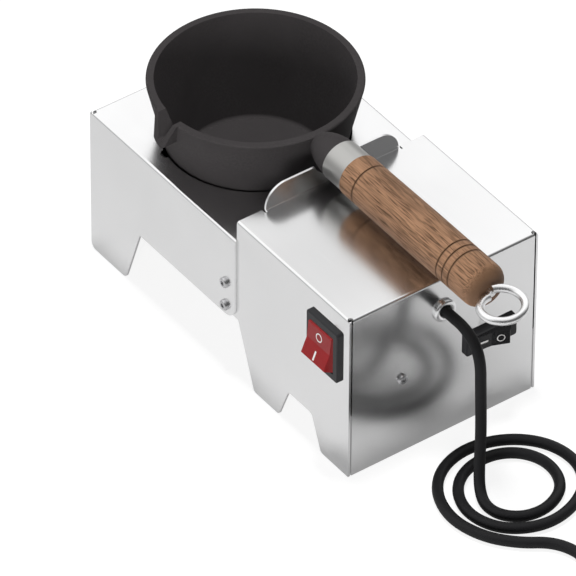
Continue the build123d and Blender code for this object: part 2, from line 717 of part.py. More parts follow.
def handle_grip():
    """The turned wooden grip, with a spigot inside the ferrule."""
    spigot = FERRULE_RADIUS - FERRULE_WALL - FIT
    middle = (GRIP_X + GRIP_END) / 2
    outline = [
        (FERRULE_X + NEST_GAP, 0, 0),
        (FERRULE_X + NEST_GAP, spigot, 0),
        (GRIP_X + FIT, spigot, 0),
        (GRIP_X + FIT, GRIP_START_RADIUS, GRIP_START_ROUND),
        (middle, (GRIP_START_RADIUS + GRIP_END_RADIUS) / 2 + GRIP_BULGE, 0),
        (GRIP_END, GRIP_END_RADIUS, GRIP_END_ROUND),
        (GRIP_END, 0, 0),
    ]
    face = rounded_outline(outline)
    places = [GRIP_X + distance for distance in GROOVES_FROM_START]
    places += [GRIP_END - distance for distance in GROOVES_FROM_END]
    for x in places:
        share = (x - GRIP_X) / GRIP_LENGTH
        surface = GRIP_START_RADIUS + share * (GRIP_END_RADIUS - GRIP_START_RADIUS) + GRIP_BULGE
        notch = Polyline(
            [
                (x - GROOVE_WIDTH, surface + 1),
                (x, surface - GROOVE_DEPTH - GRIP_BULGE),
                (x + GROOVE_WIDTH, surface + 1),
            ],
            close=True,
        )
        face -= make_face(notch)
    plane = Plane(origin=(0, 0, HANDLE_Z), x_dir=(1, 0, 0), z_dir=(0, -1, 0))
    body = revolve(plane * face, Axis((0, 0, HANDLE_Z), (1, 0, 0)))
    tang_depth = FERRULE_LENGTH + TANG_INTO_GRIP + 1
    body -= rod((FERRULE_X, 0, HANDLE_Z), (1, 0, 0), TANG_RADIUS + FIT, tang_depth)
    body -= rod((GRIP_END + 1, 0, HANDLE_Z), (-1, 0, 0), RING_WIRE / 2 + FIT, SHANK_DEPTH + 1)
    return solid_of(body)


def eye_ring():
    """The ring of wire at the handle's end, with its shank in the wood."""
    centre_x = GRIP_END + RING_GAP + RING_RADIUS + RING_WIRE / 2
    turn = Helix(RING_WIRE, RING_WIRE * RING_TURN / 360, RING_RADIUS)
    section = Plane(origin=turn @ 0, z_dir=turn % 0) * Circle(RING_WIRE / 2)
    ring = sweep(section, turn, is_frenet=True)
    lift = HANDLE_Z + RING_LIFT - RING_WIRE / 2
    ring = Pos(centre_x, RING_SIDE, lift) * Rot(0, 0, 180) * ring
    start = GRIP_END - SHANK_DEPTH + NEST_GAP
    shank = rod((start, 0, HANDLE_Z), (1, 0, 0), RING_WIRE / 2, centre_x - RING_RADIUS - start)
    return solid_of(ring + shank)


def heater_can():
    """The round can that hangs from the hotplate housing's top, with an outward flange."""
    top = HOT_CEILING
    outer = CAN_RADIUS + CAN_SHEET
    body = rod((POT_X, 0, CAN_FLOOR_Z - CAN_SHEET), (0, 0, 1), outer, top - CAN_FLOOR_Z + CAN_SHEET)
    body += rod((POT_X, 0, top - CAN_SHEET), (0, 0, 1), CAN_FLANGE_RADIUS, CAN_SHEET)
    body -= rod((POT_X, 0, CAN_FLOOR_Z), (0, 0, 1), CAN_RADIUS, top)
    for x, y in element_leg_places():
        body -= rod((x, y, CAN_FLOOR_Z - 2), (0, 0, 1), ELEMENT_RADIUS + HEATER_CLEARANCE, 3)
    for x, y in base_screw_places():
        body -= screw_hole((x, y, CAN_FLOOR_Z - 2), (0, 0, 1), 3)
    return solid_of(body)


def element_leg_places():
    """Where the heating element's two legs go down."""
    half = ELEMENT_GAP_ANGLE / 2
    return ring_of_places(ELEMENT_RING_RADIUS, (-half, half))


def base_screw_places():
    """Where the base cover is screwed to the can."""
    return [(POT_X, side * BASE_SCREW_SPACING / 2) for side in (-1, 1)]


def insulation_pad():
    """The ceramic fibre pad on the can's floor."""
    radius = CAN_RADIUS - HEATER_CLEARANCE
    body = rod((POT_X, 0, CAN_FLOOR_Z), (0, 0, 1), radius, PAD_THICKNESS)
    for x, y in element_leg_places():
        body -= rod((x, y, CAN_FLOOR_Z - 1), (0, 0, 1), ELEMENT_RADIUS + HEATER_CLEARANCE, PAD_THICKNESS + 2)
    for x, y in base_screw_places():
        body -= rod((x, y, CAN_FLOOR_Z - 1), (0, 0, 1), NUT_ACROSS_FLATS * 0.7, PAD_THICKNESS + 2)
    return solid_of(body)


PAD_TOP = CAN_FLOOR_Z + PAD_THICKNESS
ELEMENT_Z = PAD_TOP + ELEMENT_RADIUS


def heating_element():
    """The round heating element, an open ring with two legs that go down through the can's floor."""
    half = ELEMENT_GAP_ANGLE / 2
    section = Plane.XZ * (Pos(ELEMENT_RING_RADIUS, 0) * Circle(ELEMENT_RADIUS))
    ring = revolve(section, Axis.Z, 360 - ELEMENT_GAP_ANGLE)
    body = Pos(POT_X, 0, ELEMENT_Z) * Rot(0, 0, half) * ring
    for x, y in element_leg_places():
        body += Pos(x, y, ELEMENT_Z) * Sphere(ELEMENT_RADIUS)
        body += rod((x, y, ELEMENT_Z), (0, 0, -1), ELEMENT_RADIUS, ELEMENT_Z - ELEMENT_LEG_Z)
    return solid_of(body)


def heating_plate():
    """The cast plate that the pot stands on, with a skirt and a groove for the element below."""
    underside = ELEMENT_Z + ELEMENT_RADIUS - ELEMENT_SINK
    body = rod((POT_X, 0, PAD_TOP), (0, 0, 1), HEATING_PLATE_RADIUS, POT_BASE_Z - PAD_TOP)
    inner = HEATING_PLATE_RADIUS - HEATING_PLATE_SKIRT
    body -= rod((POT_X, 0, PAD_TOP - 1), (0, 0, 1), inner, underside - PAD_TOP + 1)
    wide = ELEMENT_RADIUS + HEATER_CLEARANCE
    groove = rod((POT_X, 0, PAD_TOP), (0, 0, 1), ELEMENT_RING_RADIUS + wide, ELEMENT_Z + ELEMENT_RADIUS - PAD_TOP)
    groove -= rod((POT_X, 0, PAD_TOP), (0, 0, 1), ELEMENT_RING_RADIUS - wide, POT_BASE_Z)
    return solid_of(body - groove)


def base_cover():
    """The sheet that closes both housings below, with one lip up the end panel."""
    start = SHEET + NEST_GAP
    end = END_X - SHEET - NEST_GAP
    half = CONTROL_INSIDE / 2 - NEST_GAP
    low = BASE_TOP_Z - BASE_SHEET
    body = block((start, end), (-half, half), (low, BASE_TOP_Z))
    lip_y = (EARTH_SCREW_Y - BASE_LIP_WIDTH / 2, EARTH_SCREW_Y + BASE_LIP_WIDTH / 2)
    body += block((end - BASE_SHEET, end), lip_y, (low, BASE_TOP_Z + BASE_LIP_HEIGHT))
    body -= screw_hole((END_X, EARTH_SCREW_Y, EARTH_SCREW_Z), (-1, 0, 0), 5 * SHEET)
    for x, y in base_screw_places():
        body -= screw_hole((x, y, low - 1), (0, 0, 1), 3)
    return solid_of(body)


def base_screws():
    """The screws that hold the base cover to the can."""
    low = BASE_TOP_Z - BASE_SHEET
    length = CAN_FLOOR_Z + NUT_HEIGHT - low
    return group([screw((x, y, low), (0, 0, 1), length) for x, y in base_screw_places()])


def base_spacers():
    """The tubes between the base cover and the can's floor."""
    height = CAN_FLOOR_Z - CAN_SHEET - BASE_TOP_Z
    spacers = []
    for x, y in base_screw_places():
        tube = rod((x, y, BASE_TOP_Z), (0, 0, 1), SPACER_RADIUS, height)
        spacers.append(tube - rod((x, y, BASE_TOP_Z), (0, 0, 1), SCREW_RADIUS + SCREW_HOLE_CLEARANCE, height))
    return group(spacers)


def base_nuts():
    """The nuts on the can's floor."""
    return group([nut((x, y, CAN_FLOOR_Z), (0, 0, 1)) for x, y in base_screw_places()])


def heat_shield():
    """The upright sheet between heater and switches, with a lip along each side."""
    back = JOIN_X + SHIELD_SETBACK
    half = CONTROL_INSIDE / 2 - NEST_GAP
    low = BASE_TOP_Z + NEST_GAP
    high = CONTROL_HEIGHT - SHEET - NEST_GAP
    body = block((back, back + SHEET), (-half, half), (low, high))
    for side in (-1, 1):
        lip_y = sorted((side * half, side * (half - SHEET)))
        body += block((back, back + SHIELD_LIP), lip_y, (low + SHIELD_LIP_MARGIN, high - SHIELD_LIP_MARGIN))
    body -= rod((back - 1, 0, WIRE_HOLE_Z), (1, 0, 0), WIRE_HOLE_RADIUS, 2 * SHEET + 1)
    return solid_of(body)


def side_screws():
    """The four screws that join the housings."""
    length = 2 * SHEET + NEST_GAP + NUT_HEIGHT + SCREW_TIP
    return group([screw((x, y, z), (0, inward, 0), length) for x, y, z, inward in side_screw_places()])


def side_nuts():
    """The nuts inside the control housing's tabs."""
    depth = 2 * SHEET + NEST_GAP
    return group([nut((x, y + inward * depth, z), (0, inward, 0)) for x, y, z, inward in side_screw_places()])


def earth_screw():
    """The screw on the end panel that holds the base cover's lip and the earth."""
    length = SHEET + NEST_GAP + BASE_SHEET + NUT_HEIGHT + SCREW_TIP
    return solid_of(screw((END_X, EARTH_SCREW_Y, EARTH_SCREW_Z), (-1, 0, 0), length))


def earth_nut():
    """The nut of the earth screw."""
    x = END_X - SHEET - NEST_GAP - BASE_SHEET
    return solid_of(nut((x, EARTH_SCREW_Y, EARTH_SCREW_Z), (-1, 0, 0)))


def thermostat_frame_of_reference():
    """Where the thermostat's stack starts, and the way it points, seen from above."""
    (x0, y0), (x1, y1) = THERMOSTAT_SCREWS[1], THERMOSTAT_SCREWS[0]
    spacing = hypot(x1 - x0, y1 - y0)
    along = Vector((x1 - x0) / spacing, (y1 - y0) / spacing, 0)
    return Plane(origin=(x0, y0, HOT_CEILING), x_dir=along, z_dir=(0, 0, -1)), spacing


def thermostat_screws():
    """The two screws that hold the thermostat."""
    length = SHEET + THERMOSTAT_STACK_HEIGHT + NUT_HEIGHT
    return group([screw((x, y, HOT_HEIGHT), (0, 0, -1), length) for x, y in THERMOSTAT_SCREWS])


def thermostat_nuts():
    """The nuts below the thermostat's stack."""
    z = HOT_CEILING - THERMOSTAT_STACK_HEIGHT
    return group([nut((x, y, z), (0, 0, -1)) for x, y in THERMOSTAT_SCREWS])


def blade_levels():
    """Depths below the housing's top at which the thermostat's blades lie."""
    middle = THERMOSTAT_STACK_HEIGHT / 2
    return (middle - BLADE_SPACING / 2, middle + BLADE_SPACING / 2)


def thermostat_stack():
    """The ceramic stack that clamps the two blades."""
    place, spacing = thermostat_frame_of_reference()
    half = THERMOSTAT_WIDTH / 2
    body = block((-THERMOSTAT_MARGIN, spacing + THERMOSTAT_MARGIN), (-half, half), (0, THERMOSTAT_STACK_HEIGHT))
    for level in blade_levels():
        thick = (level - BLADE_THICKNESS / 2, level + BLADE_THICKNESS / 2)
        margin = THERMOSTAT_MARGIN + 1
        body -= block((-margin, spacing + margin), (-blade_half(), blade_half()), thick)
    body = place * body
    for x, y in THERMOSTAT_SCREWS:
        body -= screw_hole((x, y, HOT_HEIGHT), (0, 0, -1), THERMOSTAT_STACK_HEIGHT + 5)
    return solid_of(body)


def blade_half():
    """Half the width of a thermostat blade."""
    return THERMOSTAT_WIDTH / 2 - BLADE_MARGIN


def thermostat_blades():
    """The two spring blades, whose tips meet at a contact."""
    place, spacing = thermostat_frame_of_reference()
    tip = spacing + THERMOSTAT_MARGIN + BLADE_LENGTH
    blades = []
    for level, toward in zip(blade_levels(), (1, -1)):
        thick = (level - BLADE_THICKNESS / 2, level + BLADE_THICKNESS / 2)
        blade = block((-THERMOSTAT_MARGIN, tip), (-blade_half(), blade_half()), thick)
        gap = (BLADE_SPACING - BLADE_THICKNESS) / 2
        blade += rod((tip - CONTACT_SETBACK, 0, level), (0, 0, toward), CONTACT_RADIUS, gap + BLADE_THICKNESS / 2)
        blade = place * blade
        for x, y in THERMOSTAT_SCREWS:
            blade -= screw_hole((x, y, HOT_HEIGHT), (0, 0, -1), THERMOSTAT_STACK_HEIGHT + 5)
        blades.append(blade)
    return group(blades)


def block_range():
    """The terminal block's extent along X and Z."""
    xs = [x for x, _ in BLOCK_SCREWS]
    zs = [z for _, z in BLOCK_SCREWS]
    return (
        (min(xs) - BLOCK_MARGIN_X, max(xs) + BLOCK_MARGIN_X),
        (min(zs) - BLOCK_MARGIN_Z, max(zs) + BLOCK_MARGIN_Z),
    )


def insert_places():
    """The centres of the terminals, in a row along the block's middle."""
    x_range, z_range = block_range()
    middle_x = sum(x_range) / 2
    middle_z = sum(z_range) / 2
    first = middle_x - (INSERT_COUNT - 1) / 2 * INSERT_PITCH
    return [(first + i * INSERT_PITCH, middle_z) for i in range(INSERT_COUNT)]


BLOCK_FACE_Y = CONTROL_INSIDE / 2 - BLOCK_DEPTH


def terminal_block():
    """The porcelain block on the control housing's wall."""
    x_range, z_range = block_range()
    body = block(x_range, (BLOCK_FACE_Y, CONTROL_INSIDE / 2), z_range)
    half = INSERT_SIDE / 2
    for x, z in insert_places():
        body -= block((x - half, x + half), (BLOCK_FACE_Y - 1, BLOCK_FACE_Y + INSERT_SIDE), (z - half, z + half))
    for x, z in BLOCK_SCREWS:
        body -= screw_hole((x, CONTROL_WIDTH / 2, z), (0, -1, 0), 2 * BLOCK_DEPTH)
    return solid_of(body)


def terminal_inserts():
    """The brass terminals in the block, each with a hole for a wire."""
    half = INSERT_SIDE / 2 - THREAD_GAP
    depth = (BLOCK_FACE_Y + INSERT_RECESS, BLOCK_FACE_Y + INSERT_SIDE)
    inserts = [block((x - half, x + half), depth, (z - half, z + half)) for x, z in insert_places()]
    return group(inserts)


def block_screws():
    """The two screws that hold the terminal block."""
    length = SHEET + BLOCK_DEPTH + NUT_HEIGHT + SCREW_TIP
    return group([screw((x, CONTROL_WIDTH / 2, z), (0, -1, 0), length) for x, z in BLOCK_SCREWS])


def block_nuts():
    """The nuts of the terminal block's screws."""
    return group([nut((x, BLOCK_FACE_Y, z), (0, -1, 0)) for x, z in BLOCK_SCREWS])


def red_switch_place():
    """The red switch's frame: X to its O end, Y along its hinge, Z out of the panel."""
    plane = Plane(origin=(RED_SWITCH_X, RED_PANEL_Y, RED_SWITCH_Z), x_dir=(0, 0, 1), z_dir=(0, -1, 0))
    return plane.location


def black_switch_place():
    """The black switch's frame: X to its I end, Y along its hinge, Z out of the panel."""
    plane = Plane(origin=(END_X, BLACK_SWITCH_Y, BLACK_SWITCH_Z), x_dir=(0, -1, 0), z_dir=(1, 0, 0))
    return plane.location


ROCKER_REACH = hypot(ROCKER_EDGE_HALF, ROCKER_EDGE_HEIGHT)
PIVOT_N = BEZEL_HEIGHT - ROCKER_PIVOT_DEPTH


def switch_body(bezel_width, case_width, rocker_width, terminal_width):
    """The switch's moulded case with its bezel, in the switch's own frame."""
    bezel = extrude(RectangleRounded(BEZEL_LENGTH, bezel_width, BEZEL_CORNER), BEZEL_HEIGHT)
    bezel = fillet(bezel.edges().group_by(Axis.Z)[-1], BEZEL_ROUND)
    case = Box(SWITCH_LENGTH, case_width, SWITCH_DEPTH, align=(Align.CENTER, Align.CENTER, Align.MAX))
    body = bezel + case
    for side in (-1, 1):
        top = -SHEET - NEST_GAP
        wall = side * SWITCH_LENGTH / 2
        lug = Polyline(
            [(wall, top), (wall + side * SWITCH_LUG, top), (wall, top - SWITCH_LUG_LENGTH)],
            close=True,
        )
        body += extrude(Plane.XZ * make_face(lug), SWITCH_LUG_WIDTH / 2, both=True)
    opening = Box(
        2 * (ROCKER_REACH + ROCKER_CLEARANCE),
        rocker_width + 2 * ROCKER_CLEARANCE,
        BEZEL_HEIGHT + SWITCH_DEPTH - SWITCH_FLOOR,
        align=(Align.CENTER, Align.CENTER, Align.MAX),
    )
    body -= Pos(0, 0, BEZEL_HEIGHT) * opening
    bore = rocker_width / 2 + PIN_LENGTH + ROCKER_CLEARANCE
    body -= rod((0, -bore, PIVOT_N), (0, 1, 0), PIN_RADIUS + PIN_CLEARANCE, 2 * bore)
    for x in terminal_places():
        body -= Pos(x, 0, -SWITCH_DEPTH) * Box(TERMINAL_THICKNESS, terminal_width, 2 * SWITCH_FLOOR)
    return solid_of(body)


def terminal_places():
    """Where the two blade terminals stand along the switch."""
    return (-TERMINAL_SPACING, TERMINAL_SPACING)


def switch_terminals(terminal_width):
    """The blade terminals, fixed in the case's floor."""
    length = TERMINAL_REACH + SWITCH_FLOOR
    blades = []
    for x in terminal_places():
        blade = Box(TERMINAL_THICKNESS, terminal_width, length, align=(Align.CENTER, Align.CENTER, Align.MIN))
        blade = Pos(x, 0, -SWITCH_DEPTH - TERMINAL_REACH) * blade
        hole_z = -SWITCH_DEPTH - TERMINAL_REACH + TERMINAL_HOLE_SETBACK
        blade -= rod((x - 1, 0, hole_z), (1, 0, 0), TERMINAL_HOLE_RADIUS, 2)
        blades.append(blade)
    return group(blades)


def switch_rocker(rocker_width):
    """The rocker with its two pins, tilted so that the frame's +X end is pressed in."""
    below_half = (ROCKER_REACH**2 - ROCKER_BELOW**2) ** 0.5
    sides = []
    for side in (-1, 1):
        sides.append(
            ThreePointArc(
                (side * ROCKER_EDGE_HALF, ROCKER_EDGE_HEIGHT),
                (side * ROCKER_REACH, 0),
                (side * below_half, -ROCKER_BELOW),
            )
        )
    top = Polyline(
        [
            (-ROCKER_EDGE_HALF, ROCKER_EDGE_HEIGHT),
            (-ROCKER_TOP_HALF, ROCKER_TOP_HEIGHT),
            (0, ROCKER_VALLEY_HEIGHT),
            (ROCKER_TOP_HALF, ROCKER_TOP_HEIGHT),
            (ROCKER_EDGE_HALF, ROCKER_EDGE_HEIGHT),
        ]
    )
    bottom = Line((-below_half, -ROCKER_BELOW), (below_half, -ROCKER_BELOW))
    face = make_face(Curve() + [sides[0], sides[1], top, bottom])
    corners = [v for v in face.vertices() if abs(abs(v.X) - ROCKER_TOP_HALF) < 0.01]
    face = fillet(corners, ROCKER_EDGE_ROUND)
    body = extrude(Plane.XZ * face, rocker_width / 2, both=True)
    reach = rocker_width / 2 + PIN_LENGTH
    body += rod((0, -reach, 0), (0, 1, 0), PIN_RADIUS, 2 * reach)
    return solid_of(Pos(0, 0, PIVOT_N) * Rot(0, ROCKER_TILT, 0) * body)


def cord_bushing():
    """The bright eyelet that the cord comes out of."""
    bore = CORD_RADIUS + CORD_FIT
    front = END_X + BUSHING_FLANGE_HEIGHT
    back = END_X - BUSHING_BARREL_LENGTH
    return turned(
        [
            (back, bore, 0),
            (back, BUSHING_BARREL_RADIUS, 0),
            (END_X, BUSHING_BARREL_RADIUS, 0),
            (END_X, BUSHING_FLANGE_RADIUS, 0),
            (front, BUSHING_FLANGE_RADIUS, BUSHING_MOUTH_ROUND),
            (front, bore, BUSHING_MOUTH_ROUND),
        ],
        (0, 0, BUSHING_Z),
        (1, 0, 0),
    )


def bushing_nut():
    """The nut that holds the bushing, inside the end panel."""
    seat = (END_X - SHEET, 0, BUSHING_Z)
    body = hexagon_bar(seat, (-1, 0, 0), BUSHING_NUT_FLATS, BUSHING_NUT_HEIGHT)
    return solid_of(body - rod(seat, (-1, 0, 0), BUSHING_BARREL_RADIUS + THREAD_GAP, BUSHING_NUT_HEIGHT))


def corner_radii(points):
    """The radius of each corner of a cord's tube, 0.45 of its shorter run over the tangent of half the turn."""
    places = [Vector(*point) for point in points]
    radii = []
    for before, here, after in zip(places, places[1:], places[2:]):
        shorter = min((here - before).length, (after - here).length)
        turn = radians((here - before).get_angle(after - here))
        radii.append(0.45 * shorter / tan(turn / 2))
    return radii


def tube(points, radius):
    """A tube of straight runs joined by arcs."""
    path = FilletPolyline(*points, radius=corner_radii(points))
    section = Plane(origin=path @ 0, z_dir=path % 0) * Circle(radius)
    return solid_of(sweep(section, path))


def coil_section():
    """The outline of the coil's turns, seen along them."""
    return Pos(COIL_RADIUS, COIL_HEIGHT / 2) * RectangleRounded(COIL_WIDTH, COIL_HEIGHT, COIL_ROUND)


def coil_ring():
    """The closed shape of the coil's turns."""
    return Pos(COIL_X, COIL_Y, 0) * revolve(Plane.XZ * coil_section(), Axis.Z)


def cord_tie():
    """The strap around the coil, let into it by its own thickness."""
    thin = 2 * TIE_THICKNESS
    inner = RectangleRounded(COIL_WIDTH - thin, COIL_HEIGHT - thin, COIL_ROUND - TIE_THICKNESS)
    frame = coil_section() - Pos(COIL_RADIUS, COIL_HEIGHT / 2) * inner
    strap = revolve(Plane.XZ * frame, Axis.Z, TIE_SPAN)
    return solid_of(Pos(COIL_X, COIL_Y, 0) * Rot(0, 0, TIE_ANGLE) * strap)


def cord_coil():
    """The coiled length, pressed in a little where the tie goes round."""
    return solid_of(coil_ring() - cord_tie())


def plug_frame():
    """The plug's frame: X from the cord's end to the pins, Z up."""
    heading = Vector(*TAIL_POINTS[-1]) - Vector(*TAIL_POINTS[-2])
    return Plane(origin=TAIL_POINTS[-1], x_dir=heading, z_dir=(0, 0, 1))


def plug_body():
    """The moulded plug with its strain relief."""
    relief = turned(
        [
            (0, 0, 0),
            (0, PLUG_RELIEF_RADIUS, PLUG_RELIEF_ROUND),
            (PLUG_RELIEF_LENGTH + 1, PLUG_RELIEF_END_RADIUS, 0),
            (PLUG_RELIEF_LENGTH + 1, 0, 0),
        ],
        (0, 0, 0),
        (1, 0, 0),
    )
    body = Box(PLUG_LENGTH, PLUG_WIDTH, PLUG_THICKNESS, align=(Align.MIN, Align.CENTER, Align.CENTER))
    body = fillet(body.edges().filter_by(Axis.X), PLUG_ROUND)
    body = fillet(body.faces().sort_by(Axis.X)[0].edges(), PLUG_BACK_ROUND)
    body = Pos(PLUG_RELIEF_LENGTH, 0, 0) * body
    return solid_of(plug_frame().location * (body + relief) - plug_pin_shapes())


def plug_pin_shapes():
    """Two flat blades and a round earth pin, whose roots are in the plug's body."""
    face = PLUG_RELIEF_LENGTH + PLUG_LENGTH
    pins = []
    for side in (-1, 1):
        x_range = (face - PIN_ROOT, face + BLADE_PIN_LENGTH)
        y = side * BLADE_PIN_SPREAD / 2
        y_range = (y - BLADE_PIN_THICKNESS / 2, y + BLADE_PIN_THICKNESS / 2)
        low = -BLADE_PIN_DROP - BLADE_PIN_WIDTH / 2
        pins.append(block(x_range, y_range, (low, low + BLADE_PIN_WIDTH)))
    earth_start = (face - PIN_ROOT, 0, EARTH_PIN_LIFT)
    pins.append(rod(earth_start, (1, 0, 0), EARTH_PIN_RADIUS, PIN_ROOT + EARTH_PIN_LENGTH))
    return plug_frame().location * Compound([solid for pin in pins for solid in pin.solids()])


def cord_nodes():
    """The cord's free stretches, its coil, tie and plug."""
    coil = coil_ring()
    lead = tube(LEAD_POINTS, CORD_RADIUS)
    tail = tube(TAIL_POINTS, CORD_RADIUS)
    return {
        "cord_lead": solid_of(lead - coil),
        "cord_tail": solid_of(tail - coil),
        "cord_coil": cord_coil(),
        "cord_tie": cord_tie(),
        "plug_body": plug_body(),
        "plug_pins": plug_pin_shapes(),
    }


def inner_wire(points):
    """An insulated wire inside the housings."""
    return tube(points, WIRE_RADIUS)


def terminal_tip(place, end):
    """The tip of a switch's terminal, at the I end or the O end."""
    return (place * Pos(end * TERMINAL_SPACING, 0, -SWITCH_DEPTH - TERMINAL_REACH - 2 * FIT)).position


def insert_front(index, drop):
    """The front of a terminal in the block, a little above or below its middle."""
    x, z = insert_places()[index]
    return (x, BLOCK_FACE_Y + INSERT_RECESS, z + drop)


def offset_from(point, offset):
    """A point moved by an offset."""
    return tuple(value + change for value, change in zip(point, offset))


def heater_wires():
    """The two wires from the element's legs, through the heat shield, to the terminal block."""
    shield_middle = JOIN_X + SHIELD_SETBACK + SHEET / 2
    low_z = (BASE_TOP_Z + CAN_FLOOR_Z - CAN_SHEET) / 2
    wires = []
    for index, side in ((0, 1), (1, -1)):
        leg_x, leg_y = element_leg_places()[1 if side > 0 else 0]
        end = insert_front(index, WIRE_OFFSET)
        back, rise = HEATER_WIRE_BACK
        on, across, up = HEATER_WIRE_ON
        wires.append(
            inner_wire(
                [
                    (leg_x + ELEMENT_RADIUS + FIT, leg_y, low_z),
                    (shield_middle - back, leg_y * 0.8, low_z + rise),
                    (shield_middle, side * WIRE_SPREAD, WIRE_HOLE_Z),
                    (shield_middle + on, across + side * WIRE_SPREAD, WIRE_HOLE_Z + up),
                    offset_from(end, [-value for value in HEATER_WIRE_END]),
                    offset_from(end, (0, -WIRE_STUB, 0)),
                    end,
                ]
            )
        )
    return group(wires)


def switch_wires():
    """The wires from the red switch to the terminal block and to the black switch."""
    low = tuple(terminal_tip(red_switch_place(), -1))
    high = tuple(terminal_tip(red_switch_place(), 1))
    black = tuple(terminal_tip(black_switch_place(), 1))
    end = insert_front(2, 0)
    to_block = [low]
    to_block += [offset_from(low, bend) for bend in RED_TO_BLOCK_BENDS]
    to_block += [offset_from(end, RED_TO_BLOCK_END), offset_from(end, (0, -WIRE_STUB, 0)), end]
    to_black = [high, offset_from(high, RED_TO_BLACK_BEND)]
    to_black += [offset_from(black, bend) for bend in RED_TO_BLACK_END] + [black]
    return group([inner_wire(to_block), inner_wire(to_black)])


def mains_wires():
    """The two wires from the cord's inner end to the black switch and to the terminal block."""
    start_x = LEAD_POINTS[0][0] - 2 * FIT
    spread = CORD_RADIUS / 2
    left = (start_x, spread, BUSHING_Z)
    right = (start_x, -spread, BUSHING_Z)
    black = tuple(terminal_tip(black_switch_place(), -1))
    end = insert_front(1, -WIRE_OFFSET)
    over_black = (black[0], black[1], BUSHING_Z)
    to_black = [left, offset_from(left, MAINS_STUB), offset_from(over_black, MAINS_TO_BLACK_BEND)]
    to_black += [offset_from(black, bend) for bend in MAINS_TO_BLACK_END] + [black]
    to_block = [right, offset_from(right, MAINS_TO_BLOCK_STUB)]
    to_block += [offset_from(end, bend) for bend in MAINS_TO_BLOCK_END] + [end]
    return group([inner_wire(to_black), inner_wire(to_block)])


nodes = {
    "hotplate_housing": hotplate_housing(),
    "control_housing": control_housing(),
    "heat_shield": heat_shield(),
    "base_cover": base_cover(),
    "base_screws": base_screws(),
    "base_spacers": base_spacers(),
    "base_nuts": base_nuts(),
    "heater_can": heater_can(),
    "insulation_pad": insulation_pad(),
    "heating_element": heating_element(),
    "heating_plate": heating_plate(),
    "melting_pot": melting_pot(),
    "handle_tang": handle_tang(),
    "handle_ferrule": handle_ferrule(),
    "handle_grip": handle_grip(),
    "eye_ring": eye_ring(),
    "thermostat_screws": thermostat_screws(),
    "thermostat_nuts": thermostat_nuts(),
    "thermostat_stack": thermostat_stack(),
    "thermostat_blades": thermostat_blades(),
    "side_screws": side_screws(),
    "side_nuts": side_nuts(),
    "earth_screw": earth_screw(),
    "earth_nut": earth_nut(),
    "terminal_block": terminal_block(),
    "terminal_inserts": terminal_inserts(),
    "block_screws": block_screws(),
    "block_nuts": block_nuts(),
    "cord_bushing": cord_bushing(),
    "bushing_nut": bushing_nut(),
}
RED_WIDTHS = (RED_BEZEL_WIDTH, RED_SWITCH_WIDTH, RED_ROCKER_WIDTH, RED_TERMINAL_WIDTH)
BLACK_WIDTHS = (BLACK_BEZEL_WIDTH, BLACK_SWITCH_WIDTH, BLACK_ROCKER_WIDTH, BLACK_TERMINAL_WIDTH)
for colour, place, widths in (
    ("red", red_switch_place(), RED_WIDTHS),
    ("black", black_switch_place(), BLACK_WIDTHS),
):
    nodes[f"{colour}_switch_body"] = place * switch_body(*widths)
    nodes[f"{colour}_switch_terminals"] = place * switch_terminals(widths[3])
    nodes[f"{colour}_switch_rocker"] = place * switch_rocker(widths[2])

nodes["heater_wires"] = heater_wires()
nodes["switch_wires"] = switch_wires()
nodes["mains_wires"] = mains_wires()

extent = Compound([solid for shape in nodes.values() for solid in shape.solids()]).bounding_box()
origin_shift = Pos(-extent.center().X, -extent.center().Y, -extent.min.Z)
nodes.update(cord_nodes())

for name, shape in nodes.items():
    export_step(origin_shift * shape, f"parts/{name}.step")
print("origin moved by", origin_shift.position)
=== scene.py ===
"""Looks of a bench-top electric melting pot: cord, screws, switch marks, finishes, studio and camera."""

import json
import logging
import math
from dataclasses import dataclass, field
from enum import Enum
from typing import Any, Iterable, Sequence

import bmesh
import bpy
from mathutils import Matrix, Vector


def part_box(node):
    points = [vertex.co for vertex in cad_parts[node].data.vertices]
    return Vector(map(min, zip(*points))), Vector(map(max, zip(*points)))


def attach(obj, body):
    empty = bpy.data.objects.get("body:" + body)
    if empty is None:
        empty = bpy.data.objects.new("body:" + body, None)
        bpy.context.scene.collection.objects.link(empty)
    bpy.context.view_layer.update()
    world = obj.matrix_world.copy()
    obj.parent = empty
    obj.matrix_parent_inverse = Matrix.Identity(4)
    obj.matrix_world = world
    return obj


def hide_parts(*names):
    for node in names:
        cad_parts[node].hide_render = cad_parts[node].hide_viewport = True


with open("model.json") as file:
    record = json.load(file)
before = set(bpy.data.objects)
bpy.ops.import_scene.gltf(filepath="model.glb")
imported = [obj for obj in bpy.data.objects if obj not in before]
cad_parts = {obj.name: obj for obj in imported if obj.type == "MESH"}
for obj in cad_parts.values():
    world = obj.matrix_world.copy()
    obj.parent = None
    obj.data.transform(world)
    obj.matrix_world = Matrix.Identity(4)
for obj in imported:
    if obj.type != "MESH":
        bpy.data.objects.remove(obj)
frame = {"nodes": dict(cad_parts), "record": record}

MM = 0.001
log = logging.getLogger("melting_pot")
Socket = bpy.types.NodeSocket
Colour = tuple[float, float, float]
Triple = tuple[float, float, float]


class Slot(Enum):
    """The record's material slots of the zinc screws, the rubber cord and the two rockers."""

    ZINC = "zinc_steel"
    RUBBER = "cord_rubber"
    RED_ROCKER = "rocker_red"
    BLACK_ROCKER = "rocker_black"


class Facing(Enum):
    """The directions in which a screw's head can look out of the housings."""

    LEFT = (0.0, -1.0, 0.0)
    RIGHT = (0.0, 1.0, 0.0)
    END = (1.0, 0.0, 0.0)
    UP = (0.0, 0.0, 1.0)


